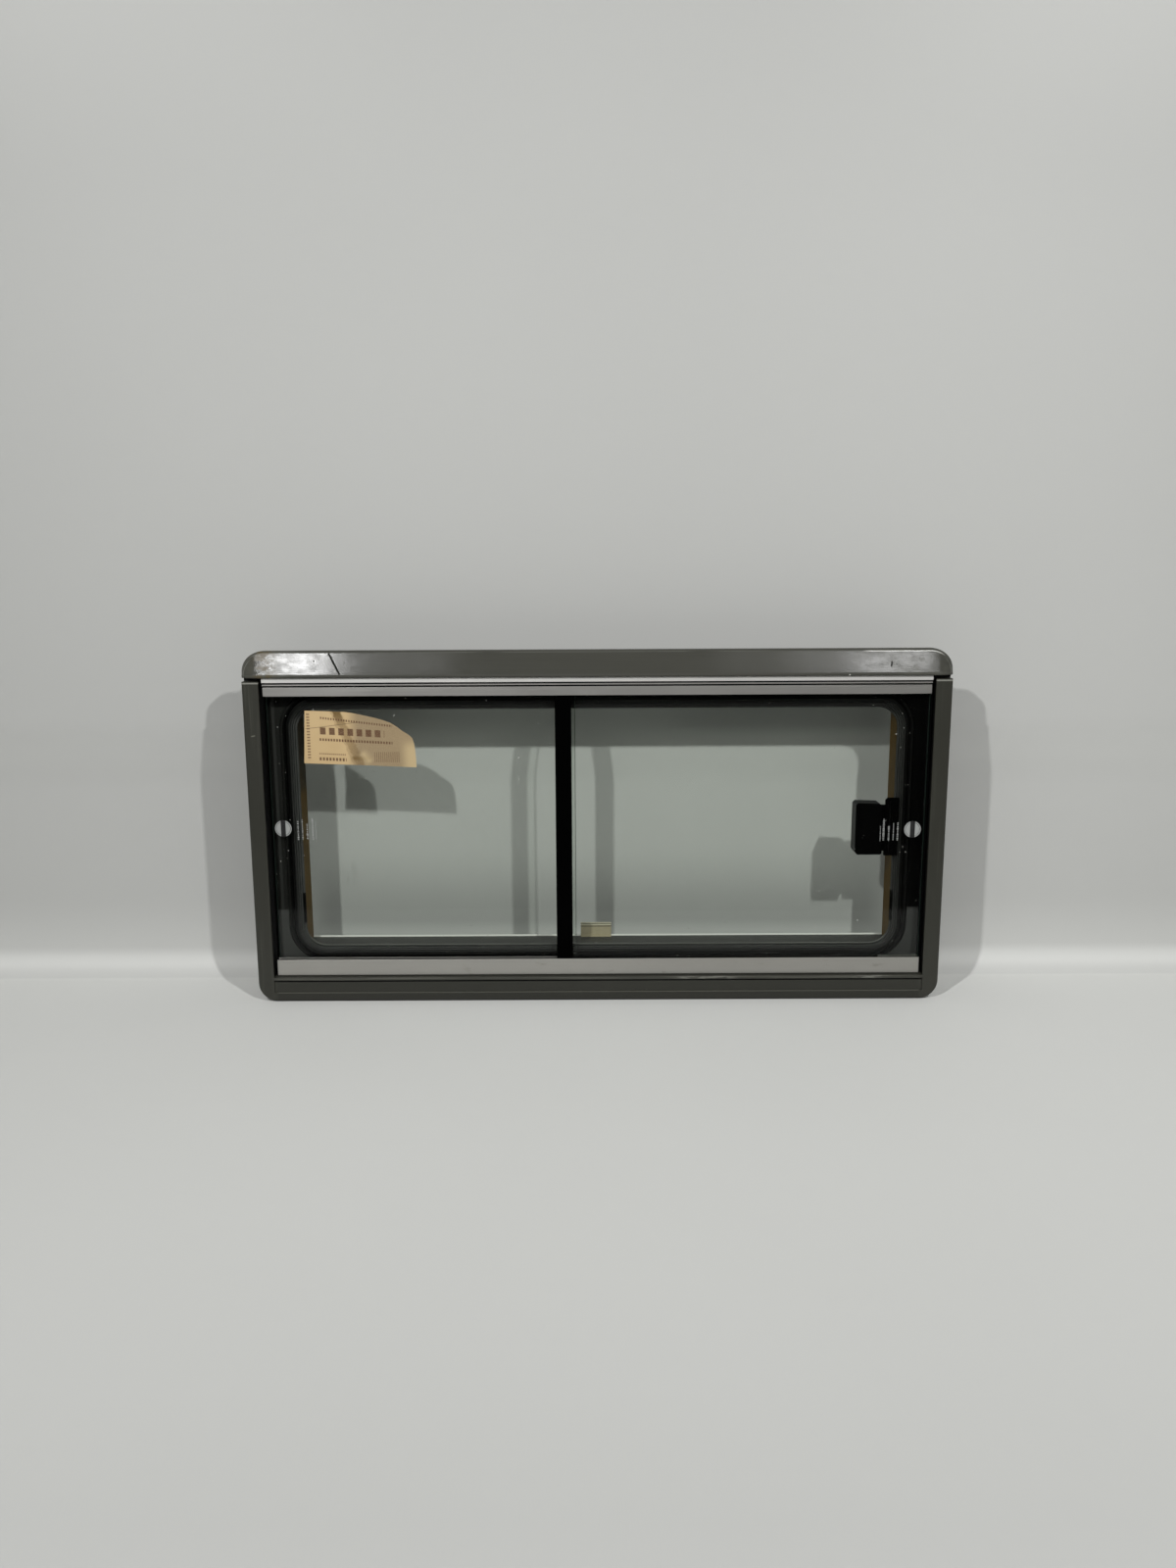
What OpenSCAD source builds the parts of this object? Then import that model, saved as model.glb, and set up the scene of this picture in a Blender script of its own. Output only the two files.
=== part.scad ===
// Sliding caravan window: moulded outer frame, two glass panes in twin-channel tracks.
// X runs to the right seen from outside, Y runs inwards, Z is up.
// The origin lies on the back face of the flange, at the middle of the cut-out's bottom line.

/* [Wall cut-out] */
// Width of the hole in the wall
cutout_w = 900; // [700:10:1300]
// Height of the hole in the wall
cutout_h = 450; // [360:10:650]

/* [Outer frame] */
// Lap of the flange over the wall at each side
flange_side = 18; // [14:0.5:24]
// Lap of the flange below the cut-out
flange_foot = 17; // [14:0.5:22]
// How far the flange stands out from the wall
flange_depth = 16; // [15:0.5:20]
// Depth of the frame body behind the wall face
body_depth = 46; // [38:1:60]
// Gap between the frame body and the edge of the cut-out
wall_gap = 1; // [0.5:0.25:2]
// Thickness of the frame beside the pane channel
side_wall = 5; // [3.5:0.5:7]
// Step from the channel wall out to the inner edge of the jamb face
jamb_step = 2; // [1:0.5:3]
// Radius of the bottom corners
foot_r = 26; // [16:1:30]
// Round of the outer front edges
edge_r = 3; // [1.5:0.5:4]

/* [Sill face] */
// Height of the lower band of the sill
band_h = 12.5; // [8:0.5:14]
// Depth of the panel sunk above the band
panel_sink = 1.4; // [0.6:0.2:2]
// Height of the sunk panel
panel_h = 16.8; // [9:0.1:18]
// Height of the round bead under the bottom track
bead_h = 5; // [5:0.5:10]
// How far the bead stands out from the flange face
bead_out = 1; // [0.4:0.2:2]
// Height of the shadow groove under the bead
groove_h = 1.7; // [1:0.1:3]
// Depth of the shadow groove behind the sunk panel
groove_d = 2; // [1:0.2:3]

/* [Hood] */
// Rise of the hood above the cut-out
hood_rise = 15; // [12:1:24]
// Height of the hood's face
hood_h = 35.5; // [32:0.5:40]
// How far the hood reaches past the flange at each end
hood_over = 2.5; // [0:0.5:5]
// Depth of the hood at its lower edge
hood_foot_d = 20; // [20:0.5:26]
// Depth of the hood at its upper edge
hood_top_d = 12.5; // [11:0.5:16]
// Radius of the hood's upper corners in the front view
hood_corner_r = 33; // [15:1:34]
// Radius of the hood's ends in the plan view
hood_end_r = 20; // [6:1:20]
// Round of the hood's long edges
hood_edge_r = 4; // [2:0.5:5]
// Thickness of the tongue that carries the hood
tongue_t = 6; // [5:0.5:9]
// Drop of the tongue below the top of the hood
tongue_drop = 9; // [7:0.5:14]
// Set-in of the tongue from the hood's ends
tongue_in = 14; // [12:0.5:20]
// Depth of the neck between the jambs and the hood
neck_d = 5; // [3:0.5:14]
// Set-in of the neck from the flange's sides
neck_in = 1; // [0.5:0.5:3]
// Gap between the top of a jamb and the hood
jamb_gap = 4.6; // [2:0.2:8]

/* [Tracks] */
// Wall of the aluminium tracks
track_wall = 1.5; // [1:0.1:1.8]
// Clear width of each pane channel
channel_w = 7; // [6.6:0.2:9]
// Set-back of the track's lip from the flange face
track_setback = 6; // [5:0.5:8]
// Height of the bottom track's front lip
low_lip_h = 22.3; // [18:0.1:28]
// Height of the top track
high_lip_h = 24.7; // [22:0.1:30]
// Drop of the bottom track's rear web below its front lip
web_drop = 8; // [0:0.5:9]
// Rise of the bottom track's divider above its front lip
fin_rise = 0.5; // [0:0.1:2]
// How far the top track's nose stands out from the channel wall
nose_out = 5.7; // [4:0.1:5.9]
// Height of the nose
nose_h = 6.3; // [4:0.1:8]
// Height of each groove under the nose
nose_groove_h = 2.3; // [1.5:0.1:3]
// Height of the ridge between the grooves
ridge_h = 1.8; // [1:0.1:3]
// How far the ridge stands out from the channel wall
ridge_out = 3.6; // [2:0.2:4.8]
// Free space between the track's end and the frame
track_end_gap = 2.3; // [1:0.1:4]
// Height of the bottom track's seat above the cut-out line
seat_rise = 18.2; // [17:0.2:24]
// Drop of the top track's seat below the top of the cut-out
seat_drop = 20.2; // [18:0.2:26]

/* [Panes] */
// Thickness of the glass
glass_t = 4; // [3:0.5:5]
// Overlap of the two panes at the middle
pane_overlap = 24.5; // [20:0.5:40]
// Shift of the overlap to the left of the middle
overlap_shift = 41.95; // [0:1:60]
// Free space between a pane's outer edge and the channel wall
pane_end_gap = 2.5; // [2:0.1:4]
// Height of the pane above the floor of the bottom track
pane_lift = 6.5; // [4:0.5:9]
// Reach of the pane into the top track
pane_reach = 6.2; // [5:0.2:9]
// Width of the black stile on the outer pane's free edge
stile_w = 21.9; // [16:0.1:30]
// Wall of the stile in front of the glass
stile_wall = 2; // [1.5:0.1:2.4]
// Wall of the stile behind the glass
stile_back = 1.6; // [1:0.1:2]
// Length of each glide shoe
glide_l = 38; // [20:1:60]
// Distance of a shoe's middle from the pane's edge
glide_in = 60; // [40:1:90]

/* [Inner opening] */
// Side margin between the cut-out and the clear opening
open_side = 46.5; // [44:0.5:60]
// Rise of the clear opening above the cut-out line
open_rise = 56; // [54:1:70]
// Drop of the clear opening below the top of the cut-out
open_drop = 65; // [62:1:80]
// Thickness of the lining strips round the opening
lining_t = 3; // [2:0.5:4]
// Thickness of the dark plate behind the panes
plate_t = 1.7; // [1:0.1:3]

/* [Gasket] */
// Inner corner radius of the gasket ring
gasket_r = 27; // [20:1:40]
// Width of the ribbed bead
gasket_bead_w = 15.5; // [12:0.5:18]
// Width of the soft outer lip
gasket_lip_w = 8.5; // [6:0.5:9]
// Height of the gasket section
gasket_t = 3; // [2:0.2:4]
// Number of ribs on the bead
rib_count = 4; // [3:1:6]

/* [Latch] */
// Height of the latch above the cut-out line
latch_z = 220; // [150:1:280]
// Distance of the latch from the side of the clear opening
latch_in = 16.8; // [14:0.1:40]
// Width of the latch body
latch_w = 37.5; // [26:0.5:44]
// Height of the latch body
latch_h = 72; // [50:1:90]
// Depth of the latch body behind the glass
latch_d = 24; // [18:1:30]
// Rise of the keeper's top above the latch
keeper_rise = 5.5; // [1.5:0.5:12]
// Width of the keeper's front plate
keeper_w = 18.5; // [14:0.5:22]
// Drop of the keeper's foot below the latch
keeper_drop = 2.5; // [0:0.5:6]
// Reach of the keeper over the gasket
keeper_over = 6; // [3:0.5:8]
// Cut of the keeper's upper corner
keeper_cut = 3; // [1:0.5:3.5]
// Thickness of the keeper's front plate
keeper_t = 4.5; // [3:0.5:5.5]
// Inset of the bolt from each end of the latch body
bolt_in = 4; // [4:0.5:10]
// Height of the beak above the bolt
beak_h = 5; // [3:0.5:8]
// Width of the keeper's edge in front of the beak
strike_t = 2.2; // [1.8:0.1:3]
// Height of the lever
lever_h = 30; // [20:1:50]

/* [Fixing holes] */
// Radius of the pilot holes for the inner clamp frame
pilot_r = 1.6; // [1:0.1:2.5]
// Depth of the pilot holes
pilot_depth = 15; // [8:1:20]

/* [Small fittings] */
// Bottom of the rubber buffers above the cut-out line
buffer_z0 = 88; // [84:1:200]
// Height of the buffers
buffer_h = 43; // [20:1:60]
// Width of the buffers
buffer_w = 3.5; // [2:0.5:5]
// Thickness of the light trim strip along the rear of the sill
trim_t = 1; // [0.8:0.1:2]
// Height of the trim strip
trim_h = 2.2; // [1:0.1:4]
// Width of the sill clip
clip_w = 43; // [20:1:80]
// Place of the clip's middle along the sill
clip_x = -2.5; // [-300:0.5:300]
// Height of the clip
clip_h = 21; // [10:0.5:26]
// Length of the clip's foot
clip_foot = 5; // [3:0.5:10]
// Thickness of the clip
clip_t = 1.2; // [0.8:0.1:2]
// Reach of the clip's bent top edge
clip_lip = 2.5; // [1:0.5:5]

/* [Hidden] */
fit = 0.3;
arc_steps = 8;
$fn = 64;

half_w = cutout_w / 2 + flange_side;
body_half = cutout_w / 2 - wall_gap;
body_z0 = wall_gap;
body_z1 = cutout_h - wall_gap;
inner_half = body_half - side_wall;
recess_half = inner_half + jamb_step;
seat_z0 = seat_rise;
seat_z1 = cutout_h - seat_drop;
open_half = cutout_w / 2 - open_side;
open_z0 = open_rise;
open_z1 = cutout_h - open_drop;
foot_z = -flange_foot;

hood_half = half_w + hood_over;
hood_z1 = cutout_h + hood_rise;
hood_z0 = hood_z1 - hood_h;
jamb_top = hood_z0 - jamb_gap;
rim_w = edge_r + 2;
tongue_z1 = hood_z1 - tongue_drop;
tongue_half = half_w - tongue_in;

track_y0 = -flange_depth + track_setback;
fin_y0 = track_y0 + track_wall + channel_w;
web_y0 = fin_y0 + track_wall + channel_w;
track_y1 = web_y0 + track_wall;
track_half = inner_half - track_end_gap;
groove_y = track_y0 + 0.2;
low_track_z = seat_z0 + fit;
high_track_z = seat_z1 - fit;
low_lip_z = low_track_z + low_lip_h;
high_lip_z = high_track_z - high_lip_h;
front_y = track_y0 + track_wall + channel_w / 2;
rear_y = web_y0 - channel_w / 2;

gasket_y0 = track_y1 + fit;
plate_y0 = gasket_y0 + gasket_t;
plate_y1 = plate_y0 + plate_t;

pane_z0 = low_track_z + track_wall + pane_lift;
pane_z1 = high_lip_z + pane_reach;
pane_half = inner_half - pane_end_gap;
outer_x0 = -overlap_shift - pane_overlap / 2;
inner_x1 = -overlap_shift + pane_overlap / 2;
outer_back = front_y + glass_t / 2;
inner_front = rear_y - glass_t / 2;
stile_x0 = outer_x0 - stile_wall - fit;
stile_z0 = low_lip_z + 1.3;
stile_z1 = high_lip_z - 1.3;

latch_x1 = open_half - latch_in;
latch_x0 = latch_x1 - latch_w;
latch_pad_t = 1;
latch_y0 = outer_back + latch_pad_t;
latch_y1 = latch_y0 + latch_d;
keeper_x1 = open_half + keeper_over;
keeper_x0 = keeper_x1 - keeper_w;
keeper_y1 = gasket_y0 - fit;
keeper_y0 = keeper_y1 - keeper_t;
keeper_z0 = latch_z - latch_h / 2 - keeper_drop;
keeper_z1 = latch_z + latch_h / 2 + keeper_rise;
bolt_y0 = keeper_y0 + 2 * fit;
bolt_y1 = keeper_y1 - 2 * fit;
bolt_z0 = latch_z - latch_h / 2 + bolt_in;
bolt_z1 = latch_z + latch_h / 2 - bolt_in;
bolt_root = latch_x1 - 13;
hook_x = keeper_x0 + strike_t;
tip_x = hook_x + 4;
buffer_z1 = buffer_z0 + buffer_h;

plate_in = open_half + lining_t;
brown = [0.33, 0.25, 0.13];
grey = [0.22, 0.23, 0.21];

pilot_x = (body_half + open_half) / 2;
pilot_z0 = (body_z0 + open_z0) / 2;
pilot_z1 = (body_z1 + open_z1) / 2;
pilot_mid = (pilot_z0 + pilot_z1) / 2;
pilot_inner_x = pilot_x / 3;
pilot_side_z = (pilot_z1 - pilot_z0) / 6;

// Points of an arc round a centre, from one angle to another
function arc(cx, cy, r, a0, a1) =
    [for (i = [0 : arc_steps]) let (a = a0 + (a1 - a0) * i / arc_steps)
        [cx + r * cos(a), cy + r * sin(a)]];

// A box between two corners
module span(lo, hi) {
    translate(lo) cube(hi - lo);
}

// Extrudes a (y, z) section along X about the middle
module along_x(length) {
    rotate([90, 0, 90]) linear_extrude(length, center = true) children();
}

// Extrudes an (x, z) outline along Y from y0 to y1
module through_y(y0, y1) {
    translate([0, y1, 0]) rotate([90, 0, 0]) linear_extrude(y1 - y0) children();
}

module both_sides() {
    children();
    mirror([1, 0, 0]) children();
}

// Rim section: flat back at zero, front edge rounded on the outside
module rim_section() {
    polygon(concat([[0, 0], [0, -flange_depth]],
        arc(rim_w - edge_r, -flange_depth + edge_r, edge_r, 270, 360),
        [[rim_w, 0]]));
}

// Front outline with rounded foot corners, drawn inside the flange's edge
module flange_outline(inset) {
    r = foot_r - inset;
    x = half_w - inset;
    both_halves() translate([half_w - foot_r, foot_z + foot_r]) circle(r);
    translate([-x, foot_z + foot_r]) square([2 * x, jamb_top - foot_z - foot_r]);
    translate([foot_r - half_w, foot_z + inset]) square([2 * (half_w - foot_r), foot_r]);
}

module both_halves() {
    children();
    mirror([1, 0]) children();
}

// Flange at the foot and the two jambs, with the rim swept round each corner
module flange() {
    corner_x = half_w - foot_r;
    corner_z = foot_z + foot_r;
    through_y(-flange_depth, 0) flange_outline(rim_w - 1);
    both_sides() {
        translate([corner_x, 0, corner_z]) rotate([-90, 0, 0])
            rotate_extrude(angle = 90) translate([foot_r - rim_w, 0]) rim_section();
        translate([half_w - rim_w, 0, corner_z]) linear_extrude(jamb_top - corner_z)
            rim_section();
        translate([0, 0, foot_z + rim_w]) rotate([0, 90, 0]) linear_extrude(corner_x)
            rim_section();
    }
}

// Tongue above the jambs that the hood hooks over
module tongue() {
    span([-tongue_half, -tongue_t, jamb_top - 1], [tongue_half, 0, tongue_z1]);
}

// Neck that closes the gap between the jamb tops and the hood
module neck() {
    half = half_w - neck_in;
    span([-half, -neck_d, jamb_top - 1], [half, 0, hood_z0 - fit]);
}

// Sunk panel with its groove, and the shadow gap under the bottom track
module sill_cut() {
    panel_z0 = foot_z + band_h;
    bead_z0 = panel_z0 + panel_h;
    bead_z1 = bead_z0 + bead_h;
    panel_y = -flange_depth + panel_sink;
    groove_back = panel_y + groove_d;
    along_x(2 * recess_half) polygon([
        [-flange_depth - 1, panel_z0], [panel_y, panel_z0], [panel_y, bead_z0 - groove_h],
        [groove_back, bead_z0 - groove_h], [groove_back, bead_z0], [panel_y, bead_z0],
        [panel_y, bead_z1], [track_y0 - fit, bead_z1], [track_y0 - fit, seat_z0 + 1],
        [-flange_depth - 1, seat_z0 + 1]]);
}

// Round bead above the sunk panel
module sill_bead() {
    bead_z0 = foot_z + band_h + panel_h;
    face = -flange_depth - bead_out;
    root_y = -flange_depth + panel_sink + 1;
    r = panel_sink + bead_out;
    along_x(2 * recess_half) polygon(concat([[root_y, bead_z0]],
        arc(face + r, bead_z0 + r, r, 270, 180),
        arc(face + r, bead_z0 + bead_h - r, r, 180, 90),
        [[root_y, bead_z0 + bead_h]]));
}

// One pilot hole in the rear face
module pilot_at(x, z) {
    translate([x, body_depth - pilot_depth, z]) rotate([-90, 0, 0])
        cylinder(r = pilot_r, h = pilot_depth + 1, $fn = 32);
}

// All pilot holes for the inner clamp frame
module pilot_holes() {
    for (x = [-pilot_x, -pilot_inner_x, pilot_inner_x, pilot_x]) {
        pilot_at(x, pilot_z0);
        pilot_at(x, pilot_z1);
    }
    for (x = [-pilot_x, pilot_x]) {
        pilot_at(x, pilot_mid - pilot_side_z);
        pilot_at(x, pilot_mid + pilot_side_z);
    }
}

module outer_frame() {
    color([0.24, 0.24, 0.22]) difference() {
        union() {
            difference() {
                flange();
                sill_cut();
            }
            sill_bead();
            tongue();
            neck();
            span([-body_half, -1, body_z0], [body_half, body_depth, body_z1]);
        }
        span([-recess_half, -flange_depth - 3, seat_z0], [recess_half, 0, seat_z1]);
        span([-inner_half, -1, seat_z0], [inner_half, plate_y1, seat_z1]);
        span([-open_half - lining_t, -1, open_z0 - lining_t],
             [open_half + lining_t, body_depth + 1, open_z1 + lining_t]);
        pilot_holes();
    }
}

// Hood: a drip cap whose tilted face, plan and front view each have their own rounding
module hood_section() {
    r = hood_edge_r;
    polygon(concat([[0, hood_z0]],
        arc(-hood_foot_d + r, hood_z0 + r, r, 270, 180),
        arc(-hood_top_d + r, hood_z1 - r, r, 180, 90),
        [[0, hood_z1]]));
}

module hood_plan() {
    r = hood_end_r;
    y0 = -hood_foot_d;
    polygon(concat([[-hood_half, 1], [-hood_half, y0 + r]],
        arc(-hood_half + r, y0 + r, r, 180, 270),
        arc(hood_half - r, y0 + r, r, 270, 360),
        [[hood_half, 1]]));
}

module hood_front() {
    r = hood_corner_r;
    polygon(concat([[-hood_half, hood_z0 - 1]],
        arc(-hood_half + r, hood_z1 - r, r, 180, 90),
        arc(hood_half - r, hood_z1 - r, r, 90, 0),
        [[hood_half, hood_z0 - 1]]));
}

module top_hood() {
    color([0.27, 0.27, 0.25]) difference() {
        intersection() {
            along_x(2 * hood_half) hood_section();
            translate([0, 0, hood_z0 - 1]) linear_extrude(hood_h + 2) hood_plan();
            through_y(-hood_foot_d - 1, 0) hood_front();
        }
        span([-tongue_half - fit, -tongue_t - fit, hood_z0 - 1],
             [tongue_half + fit, 1, tongue_z1 + fit]);
    }
}

// Dark plates on the recess floor behind the panes
module plate(lo, hi) {
    color([0.1, 0.1, 0.1]) span([lo[0], plate_y0, lo[1]], [hi[0], plate_y1, hi[1]]);
}
module plate_left() {
    plate([-inner_half, seat_z0], [-plate_in, seat_z1]);
}
module plate_right() {
    plate([plate_in, seat_z0], [inner_half, seat_z1]);
}
module plate_sill() {
    plate([-plate_in, seat_z0], [plate_in, open_z0 - lining_t]);
}
module plate_head() {
    plate([-plate_in, open_z1 + lining_t], [plate_in, seat_z1]);
}

// Lining strips round the clear opening
module lining(lo, hi, tone) {
    color(tone) span([lo[0], plate_y0 + fit, lo[1]], [hi[0], body_depth, hi[1]]);
}
module lining_left() {
    lining([-open_half - lining_t, open_z0], [-open_half, open_z1], brown);
}
module lining_right() {
    lining([open_half, open_z0], [open_half + lining_t, open_z1], brown);
}
module lining_sill() {
    lining([-plate_in, open_z0 - lining_t], [plate_in, open_z0], grey);
}
module lining_head() {
    lining([-plate_in, open_z1], [plate_in, open_z1 + lining_t], grey);
}

// Sweeps a gasket section round the opening; the section's x runs outwards
module swept_ring(grow) {
    r = gasket_r + grow;
    hw = open_half + grow;
    hh = (open_z1 - open_z0) / 2 + grow;
    mid = (open_z0 + open_z1) / 2;
    translate([0, 0, mid]) for (sx = [0, 1]) for (sz = [0, 1]) {
        mirror([sx, 0, 0]) mirror([0, 0, sz]) {
            translate([hw - r, 0, r - hh]) rotate([-90, 0, 0])
                rotate_extrude(angle = 90) translate([r, 0]) children();
            translate([hw, 0, r - hh]) linear_extrude(hh - r) children();
            translate([0, 0, -hh]) rotate([0, 90, 0]) linear_extrude(hw - r) children();
        }
    }
}

// Ribbed bead section: low ridges from the inner edge, then a flat land
module bead_section() {
    land_w = 3.5;
    rib_w = (gasket_bead_w - land_w) / rib_count;
    low = gasket_y0 + gasket_t * 0.35;
    ribs = [for (i = [0 : rib_count - 1]) for (p = [[0.12, low], [0.3, gasket_y0 + 0.1 * i],
        [0.7, gasket_y0 + 0.1 * i], [0.88, low]]) [(i + p[0]) * rib_w, p[1]]];
    polygon(concat([[0, plate_y0]], [[0, low]], ribs,
        [[gasket_bead_w - land_w, low], [gasket_bead_w - land_w, low + 0.6],
         [gasket_bead_w, low + 0.6], [gasket_bead_w, plate_y0]]));
}

module gasket_bead() {
    color([0.2, 0.21, 0.2]) difference() {
        swept_ring(0) bead_section();
        both_sides() span([open_half - 1, gasket_y0 - 1, buffer_z0 - fit],
            [open_half + buffer_w + fit, plate_y0 + 1, buffer_z1 + fit]);
    }
}

// Soft outer lip: a half-round bulb with a thin skirt
module lip_section() {
    r = gasket_t / 2;
    polygon(concat([[0, plate_y0]],
        arc(r + 0.8, gasket_y0 + r, r, 180, 270),
        arc(gasket_lip_w - 1.2 - r, gasket_y0 + r, r, 270, 340),
        [[gasket_lip_w, plate_y0 - 0.8], [gasket_lip_w, plate_y0]]));
}

module gasket_lip() {
    color([0.04, 0.04, 0.04]) swept_ring(gasket_bead_w + fit) lip_section();
}

// Bottom track: front lip, divider fin and low rear web
module bottom_track() {
    z0 = low_track_z;
    floor_z = z0 + track_wall;
    web_z = low_lip_z - web_drop;
    fin_z = low_lip_z + fin_rise;
    color([0.72, 0.72, 0.7]) along_x(2 * track_half) polygon([
        [track_y0 + 0.5, z0], [track_y1, z0], [track_y1, web_z], [web_y0, web_z],
        [web_y0, floor_z], [fin_y0 + track_wall, floor_z],
        [fin_y0 + track_wall, fin_z], [fin_y0, fin_z],
        [fin_y0, floor_z], [track_y0 + track_wall, floor_z],
        [track_y0 + track_wall, low_lip_z], [track_y0 + 0.4, low_lip_z],
        [track_y0, low_lip_z - 0.4], [track_y0, z0 + 0.5]]);
}

// Top track: deeper channels for lifting the panes in, and a grooved nose in front
module top_track() {
    z1 = high_track_z;
    roof_z = z1 - track_wall;
    nose_z = z1 - nose_h;
    ridge_z1 = nose_z - nose_groove_h;
    ridge_z0 = ridge_z1 - ridge_h;
    lip_top = ridge_z0 - nose_groove_h;
    lip_y = track_y0 - 1;
    color([0.72, 0.72, 0.7]) along_x(2 * track_half) polygon([
        [track_y0 - nose_out, z1], [track_y1, z1], [track_y1, high_lip_z],
        [web_y0, high_lip_z], [web_y0, roof_z], [fin_y0 + track_wall, roof_z],
        [fin_y0 + track_wall, high_lip_z], [fin_y0, high_lip_z], [fin_y0, roof_z],
        [track_y0 + track_wall, roof_z], [track_y0 + track_wall, high_lip_z],
        [lip_y + 0.4, high_lip_z], [lip_y, high_lip_z + 0.4], [lip_y, lip_top],
        [groove_y, lip_top], [groove_y, ridge_z0], [track_y0 - ridge_out, ridge_z0],
        [track_y0 - ridge_out, ridge_z1], [groove_y, ridge_z1], [groove_y, nose_z],
        [track_y0 - nose_out, nose_z]]);
}

// Glass panes with ground edges
module pane(x0, x1, mid_y) {
    c = 0.6;
    y0 = mid_y - glass_t / 2;
    y1 = mid_y + glass_t / 2;
    color([0.62, 0.68, 0.64, 0.4]) translate([0, 0, pane_z0]) linear_extrude(pane_z1 - pane_z0)
        polygon([[x0 + c, y0], [x1 - c, y0], [x1, y0 + c], [x1, y1 - c],
                 [x1 - c, y1], [x0 + c, y1], [x0, y1 - c], [x0, y0 + c]]);
}
module outer_pane() {
    pane(outer_x0, pane_half, front_y);
}
module inner_pane() {
    pane(-pane_half, inner_x1, rear_y);
}

// Glide shoes: two under the pane on the track floor, two over its top edge
module shoe(x, mid_y) {
    wide = channel_w / 2 - fit;
    slot = glass_t / 2 + fit / 2;
    grip = 5;
    cap = 2;
    sole_z = low_track_z + track_wall + fit / 2;
    translate([x, mid_y, 0]) rotate([90, 0, 90]) linear_extrude(glide_l, center = true) {
        polygon([[-wide, sole_z], [wide, sole_z], [wide, pane_z0 + grip], [slot, pane_z0 + grip],
                 [slot, pane_z0], [-slot, pane_z0], [-slot, pane_z0 + grip], [-wide, pane_z0 + grip]]);
        polygon([[-wide, pane_z1 - grip], [-slot, pane_z1 - grip], [-slot, pane_z1],
                 [slot, pane_z1], [slot, pane_z1 - grip], [wide, pane_z1 - grip],
                 [wide, pane_z1 + cap], [-wide, pane_z1 + cap]]);
    }
}
module outer_glides() {
    color([0.12, 0.12, 0.12]) for (x = [outer_x0 + glide_in, pane_half - glide_in])
        shoe(x, front_y);
}
module inner_glides() {
    color([0.12, 0.12, 0.12]) for (x = [-pane_half + glide_in, inner_x1 - glide_in])
        shoe(x, rear_y);
}

// Meeting stile: a channel profile pushed over the outer pane's free edge
module meeting_stile() {
    y0 = front_y - glass_t / 2 - fit / 2;
    y1 = front_y + glass_t / 2 + fit / 2;
    x1 = stile_x0 + stile_w;
    back_x = x1 - 8;
    color([0.03, 0.03, 0.03]) translate([0, 0, stile_z0]) linear_extrude(stile_z1 - stile_z0)
        polygon(concat(
            arc(stile_x0 + 1.5, y0 - stile_wall + 1.5, 1.5, 180, 270),
            arc(x1 - 1, y0 - stile_wall + 1, 1, 270, 360),
            [[x1, y0], [stile_x0 + stile_wall, y0], [stile_x0 + stile_wall, y1],
             [back_x, y1], [back_x, y1 + stile_back], [stile_x0, y1 + stile_back]]));
}

// Pile strip between the stile and the inner pane
module stile_brush() {
    y0 = front_y + glass_t / 2 + fit / 2 + stile_back;
    color([0.06, 0.06, 0.06]) span([stile_x0 + 3, y0, stile_z0],
        [stile_x0 + 9, inner_front - fit, stile_z1]);
}

// Seals that the panes close against at the jambs
module jamb_seal(side, mid_y) {
    x0 = pane_half + fit;
    w = inner_half - x0;
    wing = channel_w / 2 - fit;
    color([0.03, 0.03, 0.03]) mirror([side < 0 ? 1 : 0, 0, 0])
        translate([x0, mid_y, low_lip_z + 1]) linear_extrude(high_lip_z - low_lip_z - 2)
            polygon([[0, -wing], [w, -wing], [w, wing], [0, wing], [0.8, 0]]);
}
module jamb_seal_left() {
    jamb_seal(-1, rear_y);
}
module jamb_seal_right() {
    jamb_seal(1, front_y);
}

// Latch on the inside of the outer pane, with its keeper on the frame
module latch_pad() {
    color([0.1, 0.1, 0.1]) span([latch_x0 + 2, outer_back, latch_z - latch_h / 2 + 2],
        [latch_x1 - 2, latch_y0, latch_z + latch_h / 2 - 2]);
}

module latch_outline() {
    z0 = latch_z - latch_h / 2;
    z1 = latch_z + latch_h / 2;
    polygon([[latch_x0, z0 + 5], [latch_x0 + 4, z0], [latch_x1 - 2, z0], [latch_x1, z0 + 2],
             [latch_x1, z1 - 8], [latch_x1 - 5, z1 - 1], [latch_x0 + 3, z1], [latch_x0, z1 - 3]]);
}

module latch_body() {
    color([0.03, 0.03, 0.03]) difference() {
        through_y(latch_y0, latch_y1) latch_outline();
        span([bolt_root - 1, bolt_y0 - fit, bolt_z0 - fit],
             [latch_x1 + 1, bolt_y1 + fit, bolt_z1 + fit]);
    }
}

// Bolt with a beak that hooks behind the keeper's edge
module latch_bolt() {
    beak_z = bolt_z1 + beak_h;
    color([0.05, 0.05, 0.05]) through_y(bolt_y0, bolt_y1) polygon([
        [bolt_root, bolt_z0], [tip_x - 1, bolt_z0], [tip_x, bolt_z0 + 1], [tip_x, beak_z],
        [hook_x + fit, beak_z], [hook_x + fit, bolt_z1], [bolt_root, bolt_z1]]);
}

// Lever on the inner face of the latch
module latch_lever() {
    y0 = latch_y1 + fit;
    color([0.05, 0.05, 0.05]) translate([0, 0, latch_z]) linear_extrude(lever_h, center = true)
        polygon(concat([[latch_x0 + 4, y0], [latch_x1 - 3, y0]],
            arc(latch_x1 - 5, y0 + 4, 2, 0, 90), arc(latch_x0 + 14, y0 + 4, 2, 90, 120),
            [[latch_x0 + 4, y0 + 3]]));
}

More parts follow.
